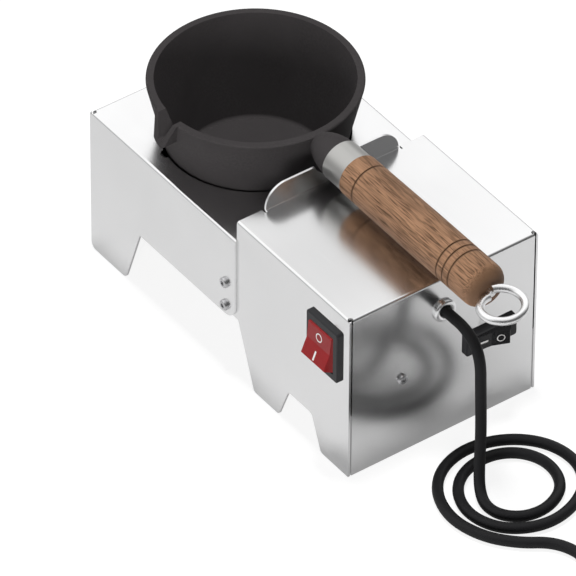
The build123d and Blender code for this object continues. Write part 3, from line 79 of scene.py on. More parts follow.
@dataclass(frozen=True)
class Datum:
    """Where the sizes below are measured from: the hotplate housing's end and the middle plane.

    Attributes:
        x: The housing's far end along the length, in metres.
        y: The middle plane, in metres.
    """

    x: float
    y: float

    @classmethod
    def from_housing(cls) -> "Datum":
        """Reads the datum from the hotplate housing's box."""
        low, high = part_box("hotplate_housing")
        return cls(low.x, (low.y + high.y) / 2)

    def at(self, x: float, y: float, z: float) -> Vector:
        """Places a point that is measured in mm from the datum.

        Args:
            x: Distance along the length.
            y: Distance from the middle plane.
            z: Height above the table.

        Returns:
            The point in metres in the frame of the model.
        """
        return Vector((self.x + x * MM, self.y + y * MM, z * MM))


def smooth_step(value: float, start: float, end: float) -> float:
    """Rises smoothly from 0 at start to 1 at end."""
    share = min(1.0, max(0.0, (value - start) / (end - start)))
    return share * share * (3 - 2 * share)


def angles(count: int) -> list[float]:
    """Angles in equal steps all the way round."""
    return [math.tau * index / count for index in range(count)]


def linked(name: str, data: bpy.types.ID) -> bpy.types.Object:
    """Makes an object of its data and links it to the scene.

    Args:
        name: The object's name.
        data: Its mesh, curve, light or camera.

    Returns:
        The object.
    """
    made = bpy.data.objects.new(name, data)
    bpy.context.scene.collection.objects.link(made)
    return made


def loft(rings: Sequence[Sequence[Vector]], caps: bool = False, wrap: bool = False) -> bmesh.types.BMesh:
    """Joins rings of equal length with quads.

    Args:
        rings: The rings, in order along the surface.
        caps: Closes the first and the last ring with a face each.
        wrap: Joins the last ring to the first.

    Returns:
        The new mesh, with its faces turned outwards where it is closed.
    """
    mesh = bmesh.new()
    rows = [[mesh.verts.new(point) for point in ring] for ring in rings]
    pairs = list(zip(rows, rows[1:])) + ([(rows[-1], rows[0])] if wrap else [])
    for low, high in pairs:
        for index in range(len(low)):
            after = (index + 1) % len(low)
            mesh.faces.new((low[index], low[after], high[after], high[index]))
    if caps:
        mesh.faces.new(list(reversed(rows[0])))
        mesh.faces.new(rows[-1])
    if caps or wrap:
        bmesh.ops.recalc_face_normals(mesh, faces=mesh.faces)
    return mesh


def as_object(name: str, mesh: bmesh.types.BMesh, sharp: float = 35.0) -> bpy.types.Object:
    """Turns a mesh under construction into an object with smooth faces and sharp edges.

    Args:
        name: The object's name.
        mesh: The mesh, which is freed.
        sharp: Edges that turn by more degrees than this stay sharp.

    Returns:
        The object, linked to the scene.
    """
    data = bpy.data.meshes.new(name)
    mesh.to_mesh(data)
    mesh.free()
    data.shade_smooth()
    data.set_sharp_from_angle(angle=math.radians(sharp))
    return linked(name, data)


class Graph:
    """Adds nodes to one tree and links them."""

    def __init__(self, tree: bpy.types.NodeTree) -> None:
        """Keeps the tree that the nodes go into."""
        self.tree = tree

    @classmethod
    def cleared(cls, block: bpy.types.Material | bpy.types.World) -> "Graph":
        """Empties the tree of a material or a world.

        Args:
            block: The material or the world.

        Returns:
            A Graph on its tree.
        """
        block.use_nodes = True
        block.node_tree.nodes.clear()
        return cls(block.node_tree)

    def feed(self, socket: Socket, value: Any) -> None:
        """Links a socket to another one, or sets its value.

        Args:
            socket: The socket that is fed.
            value: Another socket, or a plain value.
        """
        if isinstance(value, Socket):
            self.tree.links.new(value, socket)
        else:
            socket.default_value = value

    def add(self, kind: str, inputs: dict[Any, Any] | None = None, **settings: Any) -> bpy.types.Node:
        """Adds a node.

        Args:
            kind: The node's type.
            inputs: Values or sockets for its inputs, by name or number.
            **settings: The node's own properties.

        Returns:
            The node.
        """
        node = self.tree.nodes.new(kind)
        for name, value in settings.items():
            setattr(node, name, value)
        for name, value in (inputs or {}).items():
            self.feed(node.inputs[name], value)
        return node

    def math(self, operation: str, *values: Any) -> Socket:
        """Adds a Math node over one to three values and returns its result."""
        return self.add("ShaderNodeMath", dict(enumerate(values)), operation=operation).outputs[0]

    def remap(self, value: Socket, start: float, end: float, low: Any = 0.0, high: Any = 1.0) -> Socket:
        """Maps a range of values smoothly on another one, held at its ends."""
        inputs = {"Value": value, "From Min": start, "From Max": end, "To Min": low, "To Max": high}
        return self.add("ShaderNodeMapRange", inputs, interpolation_type="SMOOTHSTEP").outputs[0]

    def mix(self, share: Any, first: Any, second: Any, blend: str = "MIX") -> Socket:
        """Mixes two colours and returns the result."""
        inputs = {0: share, 6: self._rgba(first), 7: self._rgba(second)}
        return self.add("ShaderNodeMix", inputs, data_type="RGBA", blend_type=blend).outputs[2]

    def noise(self, vector: Any, scale: Any, detail: float = 2.0, distortion: float = 0.0) -> Socket:
        """Adds a noise texture and returns its value."""
        inputs = {"Vector": vector, "Scale": scale, "Detail": detail, "Distortion": distortion}
        return self.add("ShaderNodeTexNoise", inputs).outputs["Fac"]

    def stretched(self, vector: Any, scale: Any) -> Socket:
        """Scales the coordinates that a pattern is read at."""
        return self.add("ShaderNodeMapping", {"Vector": vector, "Scale": scale}).outputs[0]

    def away_from(self, middle: Vector) -> Socket:
        """The distance from a point, in metres."""
        place = self.add("ShaderNodeTexCoord").outputs["Object"]
        return self.add("ShaderNodeVectorMath", {0: place, 1: middle}, operation="DISTANCE").outputs["Value"]

    def show(self, shader: Socket, kind: str = "Material") -> None:
        """Links a shader to the output of the material, or of the world where kind is World."""
        self.feed(self.add("ShaderNodeOutput" + kind).inputs["Surface"], shader)

    def effect(self, group: bpy.types.NodeTree, **inputs: Any) -> bpy.types.NodeOutputs:
        """Places an effect group.

        Args:
            group: The group.
            **inputs: Values or sockets for its inputs, with underscores for spaces in their names.

        Returns:
            Its outputs.
        """
        node = self.add("ShaderNodeGroup", node_tree=group)
        for name, value in inputs.items():
            self.feed(node.inputs[name.replace("_", " ")], value)
        return node.outputs

    @staticmethod
    def _rgba(value: Any) -> Any:
        """Adds alpha to a colour that has three parts."""
        return value if isinstance(value, Socket) or len(value) == 4 else (*value, 1.0)


class Effects:
    """The shader node groups that several finishes share, each built once."""

    def __init__(self) -> None:
        """Builds every group."""
        self.lines = self._lines()
        self.clouds = self._clouds()
        self.grain = self._grain()
        self.figure = self._figure()

    @staticmethod
    def _group(name: str, inputs: dict[str, Any], outputs: Sequence[str]) -> tuple:
        """Makes an empty group with its sockets.

        Args:
            name: The group's name.
            inputs: Default of each input by name: a number, a vector, or None for a vector that is always linked.
            outputs: Names of the outputs, all of them numbers.

        Returns:
            The group, a Graph on it, its inputs' sockets and its output node's sockets.
        """
        tree = bpy.data.node_groups.new(name, "ShaderNodeTree")
        for label, value in inputs.items():
            kind = "NodeSocketFloat" if isinstance(value, float) else "NodeSocketVector"
            socket = tree.interface.new_socket(label, in_out="INPUT", socket_type=kind)
            if value is not None:
                socket.default_value = value
        for label in outputs:
            tree.interface.new_socket(label, in_out="OUTPUT", socket_type="NodeSocketFloat")
        graph = Graph(tree)
        return tree, graph, graph.add("NodeGroupInput").outputs, graph.add("NodeGroupOutput").inputs

    def _lines(self) -> bpy.types.NodeTree:
        """Fine parallel lines, as brushing, drawing or turning leaves them on metal.

        Returns:
            The group.
        """
        tree, graph, given, result = self._group(
            "fine_lines", {"Vector": None, "Stretch": (20.0, 2000.0, 2000.0)}, ("Mask", "Height")
        )
        place = graph.stretched(given["Vector"], given["Stretch"])
        fine = graph.noise(place, 1.0, detail=3.0)
        broad = graph.noise(place, 0.13, detail=1.0)
        both = graph.math("MULTIPLY_ADD", broad, 0.5, fine)
        graph.feed(result["Mask"], graph.remap(both, 0.45, 1.05))
        graph.feed(result["Height"], fine)
        return tree

    def _clouds(self) -> bpy.types.NodeTree:
        """Soft uneven patches, as handling, heat and uneven polish leave them.

        Returns:
            The group.
        """
        tree, graph, given, result = self._group("soft_clouds", {"Vector": None, "Scale": 20.0}, ("Mask",))
        value = graph.noise(given["Vector"], given["Scale"], detail=4.0, distortion=0.4)
        graph.feed(result["Mask"], graph.remap(value, 0.3, 0.7))
        return tree

    def _grain(self) -> bpy.types.NodeTree:
        """Small pits and grains, as sand casting, moulding and moulded rubber have.

        Returns:
            The group.
        """
        tree, graph, given, result = self._group(
            "fine_grain", {"Vector": None, "Scale": 1200.0, "Pits": 0.5}, ("Mask", "Height")
        )
        sand = graph.noise(given["Vector"], given["Scale"], detail=2.5)
        coarse = graph.math("MULTIPLY", given["Scale"], 0.22)
        cells = graph.add("ShaderNodeTexVoronoi", {"Vector": given["Vector"], "Scale": coarse})
        pit = graph.remap(cells.outputs["Distance"], 0.05, 0.35)
        depth = graph.math("MULTIPLY", graph.math("SUBTRACT", 1.0, pit), given["Pits"])
        graph.feed(result["Height"], graph.math("SUBTRACT", sand, depth))
        graph.feed(result["Mask"], graph.remap(sand, 0.35, 0.65))
        return tree

    def _figure(self) -> bpy.types.NodeTree:
        """Growth bands and dark pores of wood whose grain runs along X.

        Returns:
            The group.
        """
        tree, graph, given, result = self._group("wood_figure", {"Vector": None}, ("Bands", "Fibres", "Pores"))
        place = given["Vector"]
        wave = graph.noise(graph.stretched(place, (14.0, 55.0, 55.0)), 1.0, 3.0, 1.2)
        graph.feed(result["Bands"], graph.remap(wave, 0.34, 0.66))
        fibre = graph.noise(graph.stretched(place, (20.0, 1700.0, 1700.0)), 1.0, 2.0)
        graph.feed(result["Fibres"], graph.remap(fibre, 0.3, 0.7))
        pore = graph.noise(graph.stretched(place, (105.0, 3000.0, 3000.0)), 1.0, 1.0)
        where = graph.noise(graph.stretched(place, (30.0, 220.0, 220.0)), 1.0, 1.0)
        dash = graph.remap(pore, 0.48, 0.6)
        graph.feed(result["Pores"], graph.math("MULTIPLY", dash, graph.remap(where, 0.2, 0.5)))
        return tree


@dataclass(frozen=True)
class Finish:
    """What every finish has: its name, its base colour and its roughness.

    Attributes:
        name: The material's name.
        colour: The base colour, as it is written for plain light.
        roughness: The roughness in its middle.
    """

    name: str
    colour: Colour
    roughness: float

    def build(self, effects: Effects) -> bpy.types.Material:
        """Builds the material.

        Args:
            effects: The shared node groups.

        Returns:
            The material, with its shader dressed by the finish.
        """
        material = bpy.data.materials.new(self.name)
        material.use_nodes = True
        graph = Graph(material.node_tree)
        shader = next(n for n in material.node_tree.nodes if n.type == "BSDF_PRINCIPLED")
        place = graph.add("ShaderNodeTexCoord").outputs["Object"]
        self.dress(graph, shader, place, effects)
        return material

    def dress(self, graph: Graph, shader: bpy.types.Node, place: Socket, effects: Effects) -> None:
        """Links the finish's nodes to the shader. Each finish has its own."""
        raise NotImplementedError

    def set_plain(self, shader: bpy.types.Node, **values: Any) -> None:
        """Sets the shader's own sockets, with underscores for spaces in their names."""
        for name, value in values.items():
            shader.inputs[name.replace("_", " ")].default_value = value

    def shade(self, share: float) -> Colour:
        """The base colour, made lighter or darker."""
        return tuple(min(1.0, part * share) for part in self.colour)

    def bump(self, graph: Graph, shader: bpy.types.Node, height: Socket, depth: float, strength: float) -> None:
        """Links a height to the shader's normal, with its depth in mm."""
        inputs = {"Height": height, "Distance": depth * MM, "Strength": strength}
        graph.feed(shader.inputs["Normal"], graph.add("ShaderNodeBump", inputs).outputs[0])


@dataclass(frozen=True)
class Metal(Finish):
    """Bare or plated metal with fine lines and soft patches.

    Attributes:
        stretch: How close the lines lie along each axis.
        line_depth: Depth of the lines, in mm.
        patch: How much the patches change the colour and the roughness.
        patch_scale: How small the patches are.
        stain: Colour of the patches, or None where they are the metal's own.
        line_share: How much the lines' tone shows.
        line_tone: The lines' tone, as a share of the base colour.
        line_rough: What the lines add to the roughness, as a share of it.
        line_bump: Strength of the lines' bump.
    """

    stretch: Triple = (18.0, 1500.0, 1500.0)
    line_depth: float = 0.004
    patch: float = 0.04
    patch_scale: float = 18.0
    stain: Colour | None = None
    line_share: float = 0.35
    line_tone: float = 0.97
    line_rough: float = 0.15
    line_bump: float = 0.35

    def dress(self, graph: Graph, shader: bpy.types.Node, place: Socket, effects: Effects) -> None:
        """Links lines and patches to colour, roughness and normal.

        Args:
            graph: The material's nodes.
            shader: The shader that they lead to.
            place: The object's own coordinates.
            effects: The shared node groups.
        """
        lines = graph.effect(effects.lines, Vector=place, Stretch=self.stretch)
        clouds = graph.effect(effects.clouds, Vector=place, Scale=self.patch_scale)["Mask"]
        tint = self.stain or self.shade(1 - self.patch)
        base = graph.mix(clouds, self.colour, tint)
        share = graph.math("MULTIPLY", lines["Mask"], self.line_share)
        graph.feed(shader.inputs["Base Color"], graph.mix(share, base, self.shade(self.line_tone)))
        rough = graph.math("MULTIPLY_ADD", clouds, self.patch, self.roughness)
        rough = graph.math("MULTIPLY_ADD", lines["Mask"], self.roughness * self.line_rough, rough)
        graph.feed(shader.inputs["Roughness"], rough)
        self.bump(graph, shader, lines["Height"], self.line_depth, self.line_bump)
        self.set_plain(shader, Metallic=1.0)


@dataclass(frozen=True)
class Moulded(Finish):
    """Plastic, rubber or ceramic with a fine grain.

    Attributes:
        scale: How fine the grain is.
        depth: Depth of the grain, in mm.
        pits: How much of the grain is pits.
        uneven: How much soft patches change colour and roughness.
        specular: The shader's specular level.
        coat: The shader's coat weight.
        patch_scale: How small the soft patches are.
        patch_rough: How far the patches swing the roughness, as a share of uneven.
        grain_rough: What the grain adds to the roughness.
        grain_bump: Strength of the grain's bump.
    """

    scale: float = 1500.0
    depth: float = 0.02
    pits: float = 0.3
    uneven: float = 0.15
    specular: float = 0.3
    coat: float = 0.0
    patch_scale: float = 35.0
    patch_rough: float = 0.4
    grain_rough: float = 0.06
    grain_bump: float = 0.5

    def dress(self, graph: Graph, shader: bpy.types.Node, place: Socket, effects: Effects) -> None:
        """Links grain and patches to colour, roughness and normal.

        Args:
            graph: The material's nodes.
            shader: The shader that they lead to.
            place: The object's own coordinates.
            effects: The shared node groups.
        """
        grain = graph.effect(effects.grain, Vector=place, Scale=self.scale, Pits=self.pits)
        clouds = graph.effect(effects.clouds, Vector=place, Scale=self.patch_scale)["Mask"]
        base = graph.mix(clouds, self.shade(1 - self.uneven), self.shade(1 + self.uneven))
        graph.feed(shader.inputs["Base Color"], graph.mix(grain["Mask"], base, self.colour))
        swing = self.uneven * self.patch_rough
        rough = graph.math("MULTIPLY_ADD", clouds, swing, self.roughness - swing / 2)
        rough = graph.math("MULTIPLY_ADD", grain["Mask"], self.grain_rough, rough)
        graph.feed(shader.inputs["Roughness"], rough)
        self.bump(graph, shader, grain["Height"], self.depth, self.grain_bump)
        self.set_plain(shader, Specular_IOR_Level=self.specular, Coat_Weight=self.coat, Coat_Roughness=0.12)


@dataclass(frozen=True)
class Lens(Moulded):
    """Clear coloured plastic that light soaks into.

    Attributes:
        glow: How far light spreads inside it, in mm.
        soak: How much of the light goes in.
        spread: How far each colour spreads, as a share of the glow.
    """

    glow: float = 3.0
    soak: float = 0.35
    spread: Triple = (1.0, 0.12, 0.1)

    def dress(self, graph: Graph, shader: bpy.types.Node, place: Socket, effects: Effects) -> None:
        """Adds soaked-in light to the moulded finish.

        Args:
            graph: The material's nodes.
            shader: The shader that they lead to.
            place: The object's own coordinates.
            effects: The shared node groups.
        """
        super().dress(graph, shader, place, effects)
        self.set_plain(shader, Subsurface_Weight=self.soak, Subsurface_Scale=self.glow * MM)
        self.set_plain(shader, Subsurface_Radius=self.spread)


@dataclass(frozen=True)
class Walnut(Finish):
    """Oiled wood turned along X, with dark pores, and grooves that are darkened with painted shade.

    Attributes:
        dark: Colour of the dark bands.
        pore: Colour of the pores, and of the painted shade in the grooves.
        grooves: Places of the grooves along X, in metres.
        end: Place of the end face along X, in metres.
        fibre_share: How much the pale fibres show.
        fibre_tone: Their tone, as a share of the base colour.
        pore_share: How much the pores and the painted shade in the grooves show.
        groove_edge: Where a groove's painted shade starts to fade and where it ends, in metres from its middle.
        end_fade: Where the end's darkening starts and where it is full, in metres before the end face.
        end_share: How much the end's dark tone shows.
        end_tone: That tone, as a share of the base colour.
    """

    dark: Colour = (0.27, 0.152, 0.09)
    pore: Colour = (0.055, 0.03, 0.018)
    grooves: tuple[float, ...] = ()
    end: float = 0.0
    fibre_share: float = 0.5
    fibre_tone: float = 1.3
    pore_share: float = 0.8
    groove_edge: tuple[float, float] = (0.0003, 0.0008)
    end_fade: tuple[float, float] = (0.006, 0.0012)
    end_share: float = 0.9
    end_tone: float = 0.42

    def dress(self, graph: Graph, shader: bpy.types.Node, place: Socket, effects: Effects) -> None:
        """Links bands, fibres, pores and the grooves' painted shade to colour, roughness and normal.

        Args:
            graph: The material's nodes.
            shader: The shader that they lead to.
            place: The object's own coordinates.
            effects: The shared node groups.
        """
        figure = graph.effect(effects.figure, Vector=place)
        base = graph.mix(figure["Bands"], self.dark, self.colour)
        fibres = graph.math("MULTIPLY", figure["Fibres"], self.fibre_share)
        base = graph.mix(fibres, base, self.shade(self.fibre_tone))
        base = graph.mix(graph.math("MULTIPLY", figure["Pores"], self.pore_share), base, self.pore)
        along = graph.add("ShaderNodeSeparateXYZ", {0: place}).outputs["X"]
        # Painted shade: each groove is darkened towards the pores' colour along a thin line.
        groove_shade: Any = 0.0
        for spot in self.grooves:
            away = graph.math("ABSOLUTE", graph.math("SUBTRACT", along, spot))
            groove_shade = graph.math("MAXIMUM", groove_shade, graph.remap(away, *self.groove_edge, 1.0, 0.0))
        base = graph.mix(graph.math("MULTIPLY", groove_shade, self.pore_share), base, self.pore)
        start, full = (self.end - reach for reach in self.end_fade)
        end = graph.remap(along, start, full, 0.0, self.end_share)
        graph.feed(shader.inputs["Base Color"], graph.mix(end, base, self.shade(self.end_tone)))
        rough = graph.math("MULTIPLY_ADD", figure["Pores"], 0.2, self.roughness)
        graph.feed(shader.inputs["Roughness"], rough)
        low = graph.math("MULTIPLY", figure["Pores"], -1.0)
        self.bump(graph, shader, graph.math("MULTIPLY_ADD", figure["Fibres"], 0.3, low), 0.08, 0.6)
        self.set_plain(shader, Specular_IOR_Level=0.28)


class Finishes:
    """Every material of the model, by the name of the record's slot or of the single piece."""

    def __init__(self, datum: Datum) -> None:
        """Builds the materials.

        Args:
            datum: Where the wood's grooves are measured from.
        """
        grooves = tuple(datum.at(x, 0, 0).x for x in (155.2, 224.1, 228.8, 233.4))
        end = datum.at(251.4, 0, 0).x
        along_z = (1500.0, 1500.0, 18.0)
        round_x = (1800.0, 60.0, 60.0)
        effects = Effects()
        finishes = (
            Metal("stainless_sheet", (0.87, 0.87, 0.873), 0.185, patch=0.03),
            Moulded("cast_iron", (0.058, 0.0535, 0.0545), 0.65, 900.0, 0.06, 0.4, 0.12, 0.06),
            Walnut("handle_wood", (0.405, 0.228, 0.132), 0.5, grooves=grooves, end=end),
            Metal("bright_metal", (0.94, 0.94, 0.945), 0.24, line_depth=0.001, patch=0.02),
            Metal("ferrule_satin", (0.52, 0.515, 0.5), 0.3, round_x, 0.004, 0.05),
            Metal("zinc_steel", (0.62, 0.62, 0.63), 0.28, patch=0.06, patch_scale=300.0),
            Metal("inner_steel", (0.5, 0.5, 0.51), 0.35, patch=0.08, stain=(0.38, 0.35, 0.33)),
            # Painted shade: the heater can is coloured near black to stand in for the shade in the gap round the pot.
            Metal("heater_can", (0.1, 0.1, 0.105), 0.5, along_z, 0.004, 0.08, 30.0, (0.05, 0.045, 0.05)),
            Moulded("ceramic_fibre", (0.8, 0.77, 0.7), 0.9, 700.0, 0.2, 0.8, 0.06, 0.2),
            Moulded("porcelain", (0.84, 0.82, 0.78), 0.25, 300.0, 0.01, 0.1, 0.03, 0.5, 0.3),
            Metal("brass_parts", (0.78, 0.58, 0.27), 0.3, patch=0.06, patch_scale=120.0),
            Moulded("switch_black", (0.022, 0.022, 0.024), 0.42, 1600.0, 0.012, 0.2, 0.1, 0.3),
            Lens("rocker_red", (0.29, 0.007, 0.009), 0.3, 900.0, 0.003, 0.1, 0.06, 0.34, 0.06),
            Moulded("rocker_black", (0.012, 0.012, 0.013), 0.25, 1400.0, 0.004, 0.1, 0.1, 0.35),
            Moulded("cord_rubber", (0.012, 0.012, 0.013), 0.5, 1800.0, 0.01, 0.2, 0.12, 0.25),
            Moulded("wire_insulation", (0.7, 0.69, 0.64), 0.5, 1500.0, 0.01, 0.2, 0.08, 0.3),
            Moulded("tie_plastic", (0.03, 0.03, 0.03), 0.45, 1500.0, 0.01, 0.2, 0.1, 0.3),
            Moulded("mark_paint", (0.85, 0.84, 0.83), 0.5, 2500.0, 0.004, 0.1, 0.04, 0.3),
        )
        self.materials = {finish.name: finish.build(effects) for finish in finishes}

    def __getitem__(self, name: str) -> bpy.types.Material:
        """The material of that name."""
        return self.materials[name]


class CadNodes:
    """The solids that are shown as they come, each dressed in its better material."""

    OWN = {"handle_ferrule": "ferrule_satin", "heater_can": "heater_can"}
    # The photograph's polished panels don't mirror the switches.
    UNMIRRORED = ("red_switch_body", "red_switch_rocker", "black_switch_body", "black_switch_rocker")

    def __init__(self, finishes: Finishes) -> None:
        """Keeps the finishes."""
        self.finishes = finishes

    def dress(self) -> int:
        """Gives every node the material of its slot, or its own one.

        Returns:
            The number of nodes that were dressed.
        """
        slots = {part["node"]: part["material_slot"] for part in frame["record"]["subparts"]}
        for name, node in frame["nodes"].items():
            node.material_slots[0].material = self.finishes[self.OWN.get(name, slots[name])]
            node.visible_glossy = name not in self.UNMIRRORED
        return len(frame["nodes"])


@dataclass
class Cord:
    """The mains cord: out of the bushing, round its loose loops, into its coil and to the plug.

    Attributes:
        datum: Where its points are measured from.
        radius: Radius of the cord, in mm.
        floor: Height of its middle where it lies on the table, in mm.
        length: Its real length, in metres; not used.
        drop: Points from the bushing down to the table.
        loops: Points on the table, to where the coil starts.
        coil_centre: Middle of the coil.
        coil_radius: Middle radius of the coil's turns.
        coil_turns: Number of turns in the coil.
        turn_points: Points on each turn.
        start_angle: Where the coil starts, in degrees.
        tie_angle: Where the tie holds the coil, in degrees.
        inward: Where the cord goes from the outer turn to the inner one, in turns.
        upward: Where it goes up to the second layer, in turns.
        outward: Where it goes out again, in turns.
        squeeze: How much closer the turns lie under the tie.
        squeeze_reach: Where that starts to fade and where it ends, in degrees from the tie.
        tail: Points from the coil to the plug.
    """

    datum: Datum
    radius: float = 2.9
    floor: float = 2.9
    length: float = 1.25
    drop: tuple[Triple, ...] = (
        (209.0, 0, 79.5), (220.5, 0, 79.5), (232.6, 0, 79.7), (241.4, 0, 75.0), (246.3, -0.4, 66.5),
        (248.2, -1.5, 54.0), (251.6, -3.6, 40.0), (255.8, -6.6, 27.5), (260.2, -10.6, 15.2),
        (265.6, -14.4, 6.2),
    )
    loops: tuple[tuple[float, float], ...] = (
        (274.0, -17.4), (284.4, -15.4), (292.2, -6.4), (293.4, 6.6), (287.2, 19.4), (276.4, 25.8),
        (263.4, 26.2), (252.0, 19.4), (245.8, 7.0), (247.2, -9.4), (256.6, -22.0), (272.5, -27.8),
        (288.0, -23.8), (298.4, -13.0), (303.0, 3.0), (298.8, 20.0), (288.5, 33.5), (272.0, 39.4),
        (254.0, 34.8), (240.4, 20.5), (234.8, 0.5), (239.8, -18.5), (253.0, -31.6), (272.5, -36.8),
        (291.5, -31.6), (305.5, -20.0), (314.0, -7.0), (327.0, -0.6), (341.0, -2.2), (353.8, -2.4),
    )
    coil_centre: tuple[float, float] = (372.0, 32.0)
    coil_radius: float = 31.5
    coil_turns: float = 3.25
    turn_points: int = 20
    start_angle: float = 260.0
    tie_angle: float = 158.0
    inward: tuple[float, float] = (0.80, 0.95)
    upward: tuple[float, float] = (1.65, 1.80)
    outward: tuple[float, float] = (2.50, 2.65)
    squeeze: float = 0.28
    squeeze_reach: tuple[float, float] = (12.0, 34.0)
    tail: tuple[Triple, ...] = ((407.8, 35.8, 8.6), (410.4, 44.6, 9.8), (411.5, 53.0, 11.0), (410.7, 62.0, 11.0))

    def coil(self) -> list[Vector]:
        """Works out the coil's points: an outer and an inner turn in each of two layers.

        Returns:
            The points in metres, along the cord.
        """
        half = math.cos(math.pi / self.turn_points)
        points = []
        for index in range(round(self.coil_turns * self.turn_points) + 1):
            turn = index / self.turn_points
            degrees = self.start_angle + 360 * turn
            outer = 1 - smooth_step(turn, *self.inward) + smooth_step(turn, *self.outward)
            upper = smooth_step(turn, *self.upward)
            away = abs((degrees - self.tie_angle + 180) % 360 - 180)
            press = 1 - self.squeeze * (1 - smooth_step(away, *self.squeeze_reach))
            radius = (self.coil_radius + (2 * outer - 1) * self.radius * press) / half
            height = 2 * self.floor + (2 * upper - 1) * self.floor * press
            angle = math.radians(degrees)
            x = self.coil_centre[0] + radius * math.cos(angle)
            y = self.coil_centre[1] + radius * math.sin(angle)
            points.append(self.datum.at(x, y, height))
        return points

    def build(self, finish: bpy.types.Material) -> bpy.types.Object:
        """Builds the cord as one smooth curve.

        Args:
            finish: The rubber of its sheath.

        Returns:
            The curve, standing for the cord's solids.
        """
        points = [self.datum.at(*point) for point in self.drop]
        points += [self.datum.at(x, y, self.floor) for x, y in self.loops]
        points += self.coil()
        points += [self.datum.at(*point) for point in self.tail]
        data = bpy.data.curves.new("mains_cord", "CURVE")
        data.dimensions = "3D"
        data.bevel_depth = self.radius * MM
        data.bevel_resolution = 6
        data.resolution_u = 6
        data.use_fill_caps = True
        line = data.splines.new("NURBS")
        line.points.add(len(points) - 1)
        for spot, point in zip(line.points, points):
            spot.co = (*point, 1.0)
        line.order_u = 3
        line.use_endpoint_u = True
        data.materials.append(finish)
        made = linked("mains_cord", data)
        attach(made, "base")
        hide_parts("cord_lead", "cord_coil", "cord_tail")
        self.datum.at(218.0, 0, 79.5)
        return made


@dataclass
class ScrewPattern:
    """A pan-head screw's shape, with a hexagon recess and a rolled thread. Sizes are in mm.

    Attributes:
        head_radius: Radius of the head.
        head_height: Height of the head.
        dome: Radius of the round at the head's rim.
        recess: Half the distance across the recess's flats.
        recess_depth: Depth of the recess.
        shank: Radius of the thread's crests.
        thread_depth: Depth of the thread.
        pitch: Distance from crest to crest.
        sides: Points round a ring.
        rim: Chamfer under the head's rim.
        dome_steps: Rings in the head's round.
        recess_edge: Chamfer of the recess.
        recess_point: Radius and depth of the drill's point in the recess.
        tip_length: Length of the thread's tip.
        tip_taper: How much narrower the tip's end is.
        through_nut: How far a thread goes past its panel and through its nut, up to its tip.
    """

    head_radius: float = 2.9
    head_height: float = 1.9
    dome: float = 1.14
    recess: float = 1.16
    recess_depth: float = 1.05
    shank: float = 1.5
    thread_depth: float = 0.28
    pitch: float = 0.5
    sides: int = 24
    rim: float = 0.12
    dome_steps: int = 6
    recess_edge: float = 0.08
    recess_point: tuple[float, float] = (0.02, 0.25)
    tip_length: float = 0.3
    tip_taper: float = 0.35
    through_nut: float = 3.1

    def ring(self, radius: float, height: float, hexagon: bool = False) -> list[Vector]:
        """A ring of points.

        Args:
            radius: The ring's radius, or half a hexagon's distance across its flats.
            height: Its height over the head's seat.
            hexagon: Lays the points on a hexagon.

        Returns:
            The points in metres.
        """
        points = []
        for angle in angles(self.sides):
            inside = (angle + math.pi / 6) % (math.pi / 3) - math.pi / 6
            reach = radius / math.cos(inside) if hexagon else radius
            points.append(Vector((reach * math.cos(angle), reach * math.sin(angle), height)) * MM)
        return points

    def head(self) -> bpy.types.Object:
        """Builds the head, open where the thread starts.

        Returns:
            The head, with its seat at the origin.
        """
        top, bottom = self.head_height, self.head_height - self.recess_depth
        rings = [self.ring(self.shank, 0), self.ring(self.head_radius - self.rim, 0)]
        rings.append(self.ring(self.head_radius, self.rim))
        for step in range(self.dome_steps + 1):
            angle = math.pi / 2 * step / self.dome_steps
            radius = self.head_radius - self.dome + self.dome * math.cos(angle)
            rings.append(self.ring(radius, top - self.dome + self.dome * math.sin(angle)))
        rings.append(self.ring(self.recess + self.recess_edge, top, hexagon=True))
        rings.append(self.ring(self.recess, top - self.recess_edge, hexagon=True))
        rings.append(self.ring(self.recess, bottom, hexagon=True))
        rings.append(self.ring(self.recess_point[0], bottom - self.recess_point[1]))
        mesh = loft(rings)
        mesh.verts.ensure_lookup_table()
        mesh.faces.new(list(mesh.verts)[-self.sides:])
        return as_object("screw_head", mesh)

    def turn(self) -> bpy.types.Object:
        """Builds one pitch of thread, open at both ends.

        Returns:
            The piece of thread, with its top at the origin.
        """
        low = self.shank - self.thread_depth
        profile = ((self.shank, 0), (self.shank, -0.1), (low, -0.45), (low, -0.55), (self.shank, -1.0))
        return as_object("screw_turn", loft([self.ring(r, z * self.pitch) for r, z in reversed(profile)]), 80)

    def tip(self) -> bpy.types.Object:
        """Builds the chamfered tip.

        Returns:
            The tip, with its top at the origin.
        """
        mesh = loft([self.ring(self.shank - self.tip_taper, -self.tip_length), self.ring(self.shank, 0)])
        mesh.verts.ensure_lookup_table()
        mesh.faces.new(list(reversed(list(mesh.verts)[: self.sides])))
        return as_object("screw_tip", mesh)


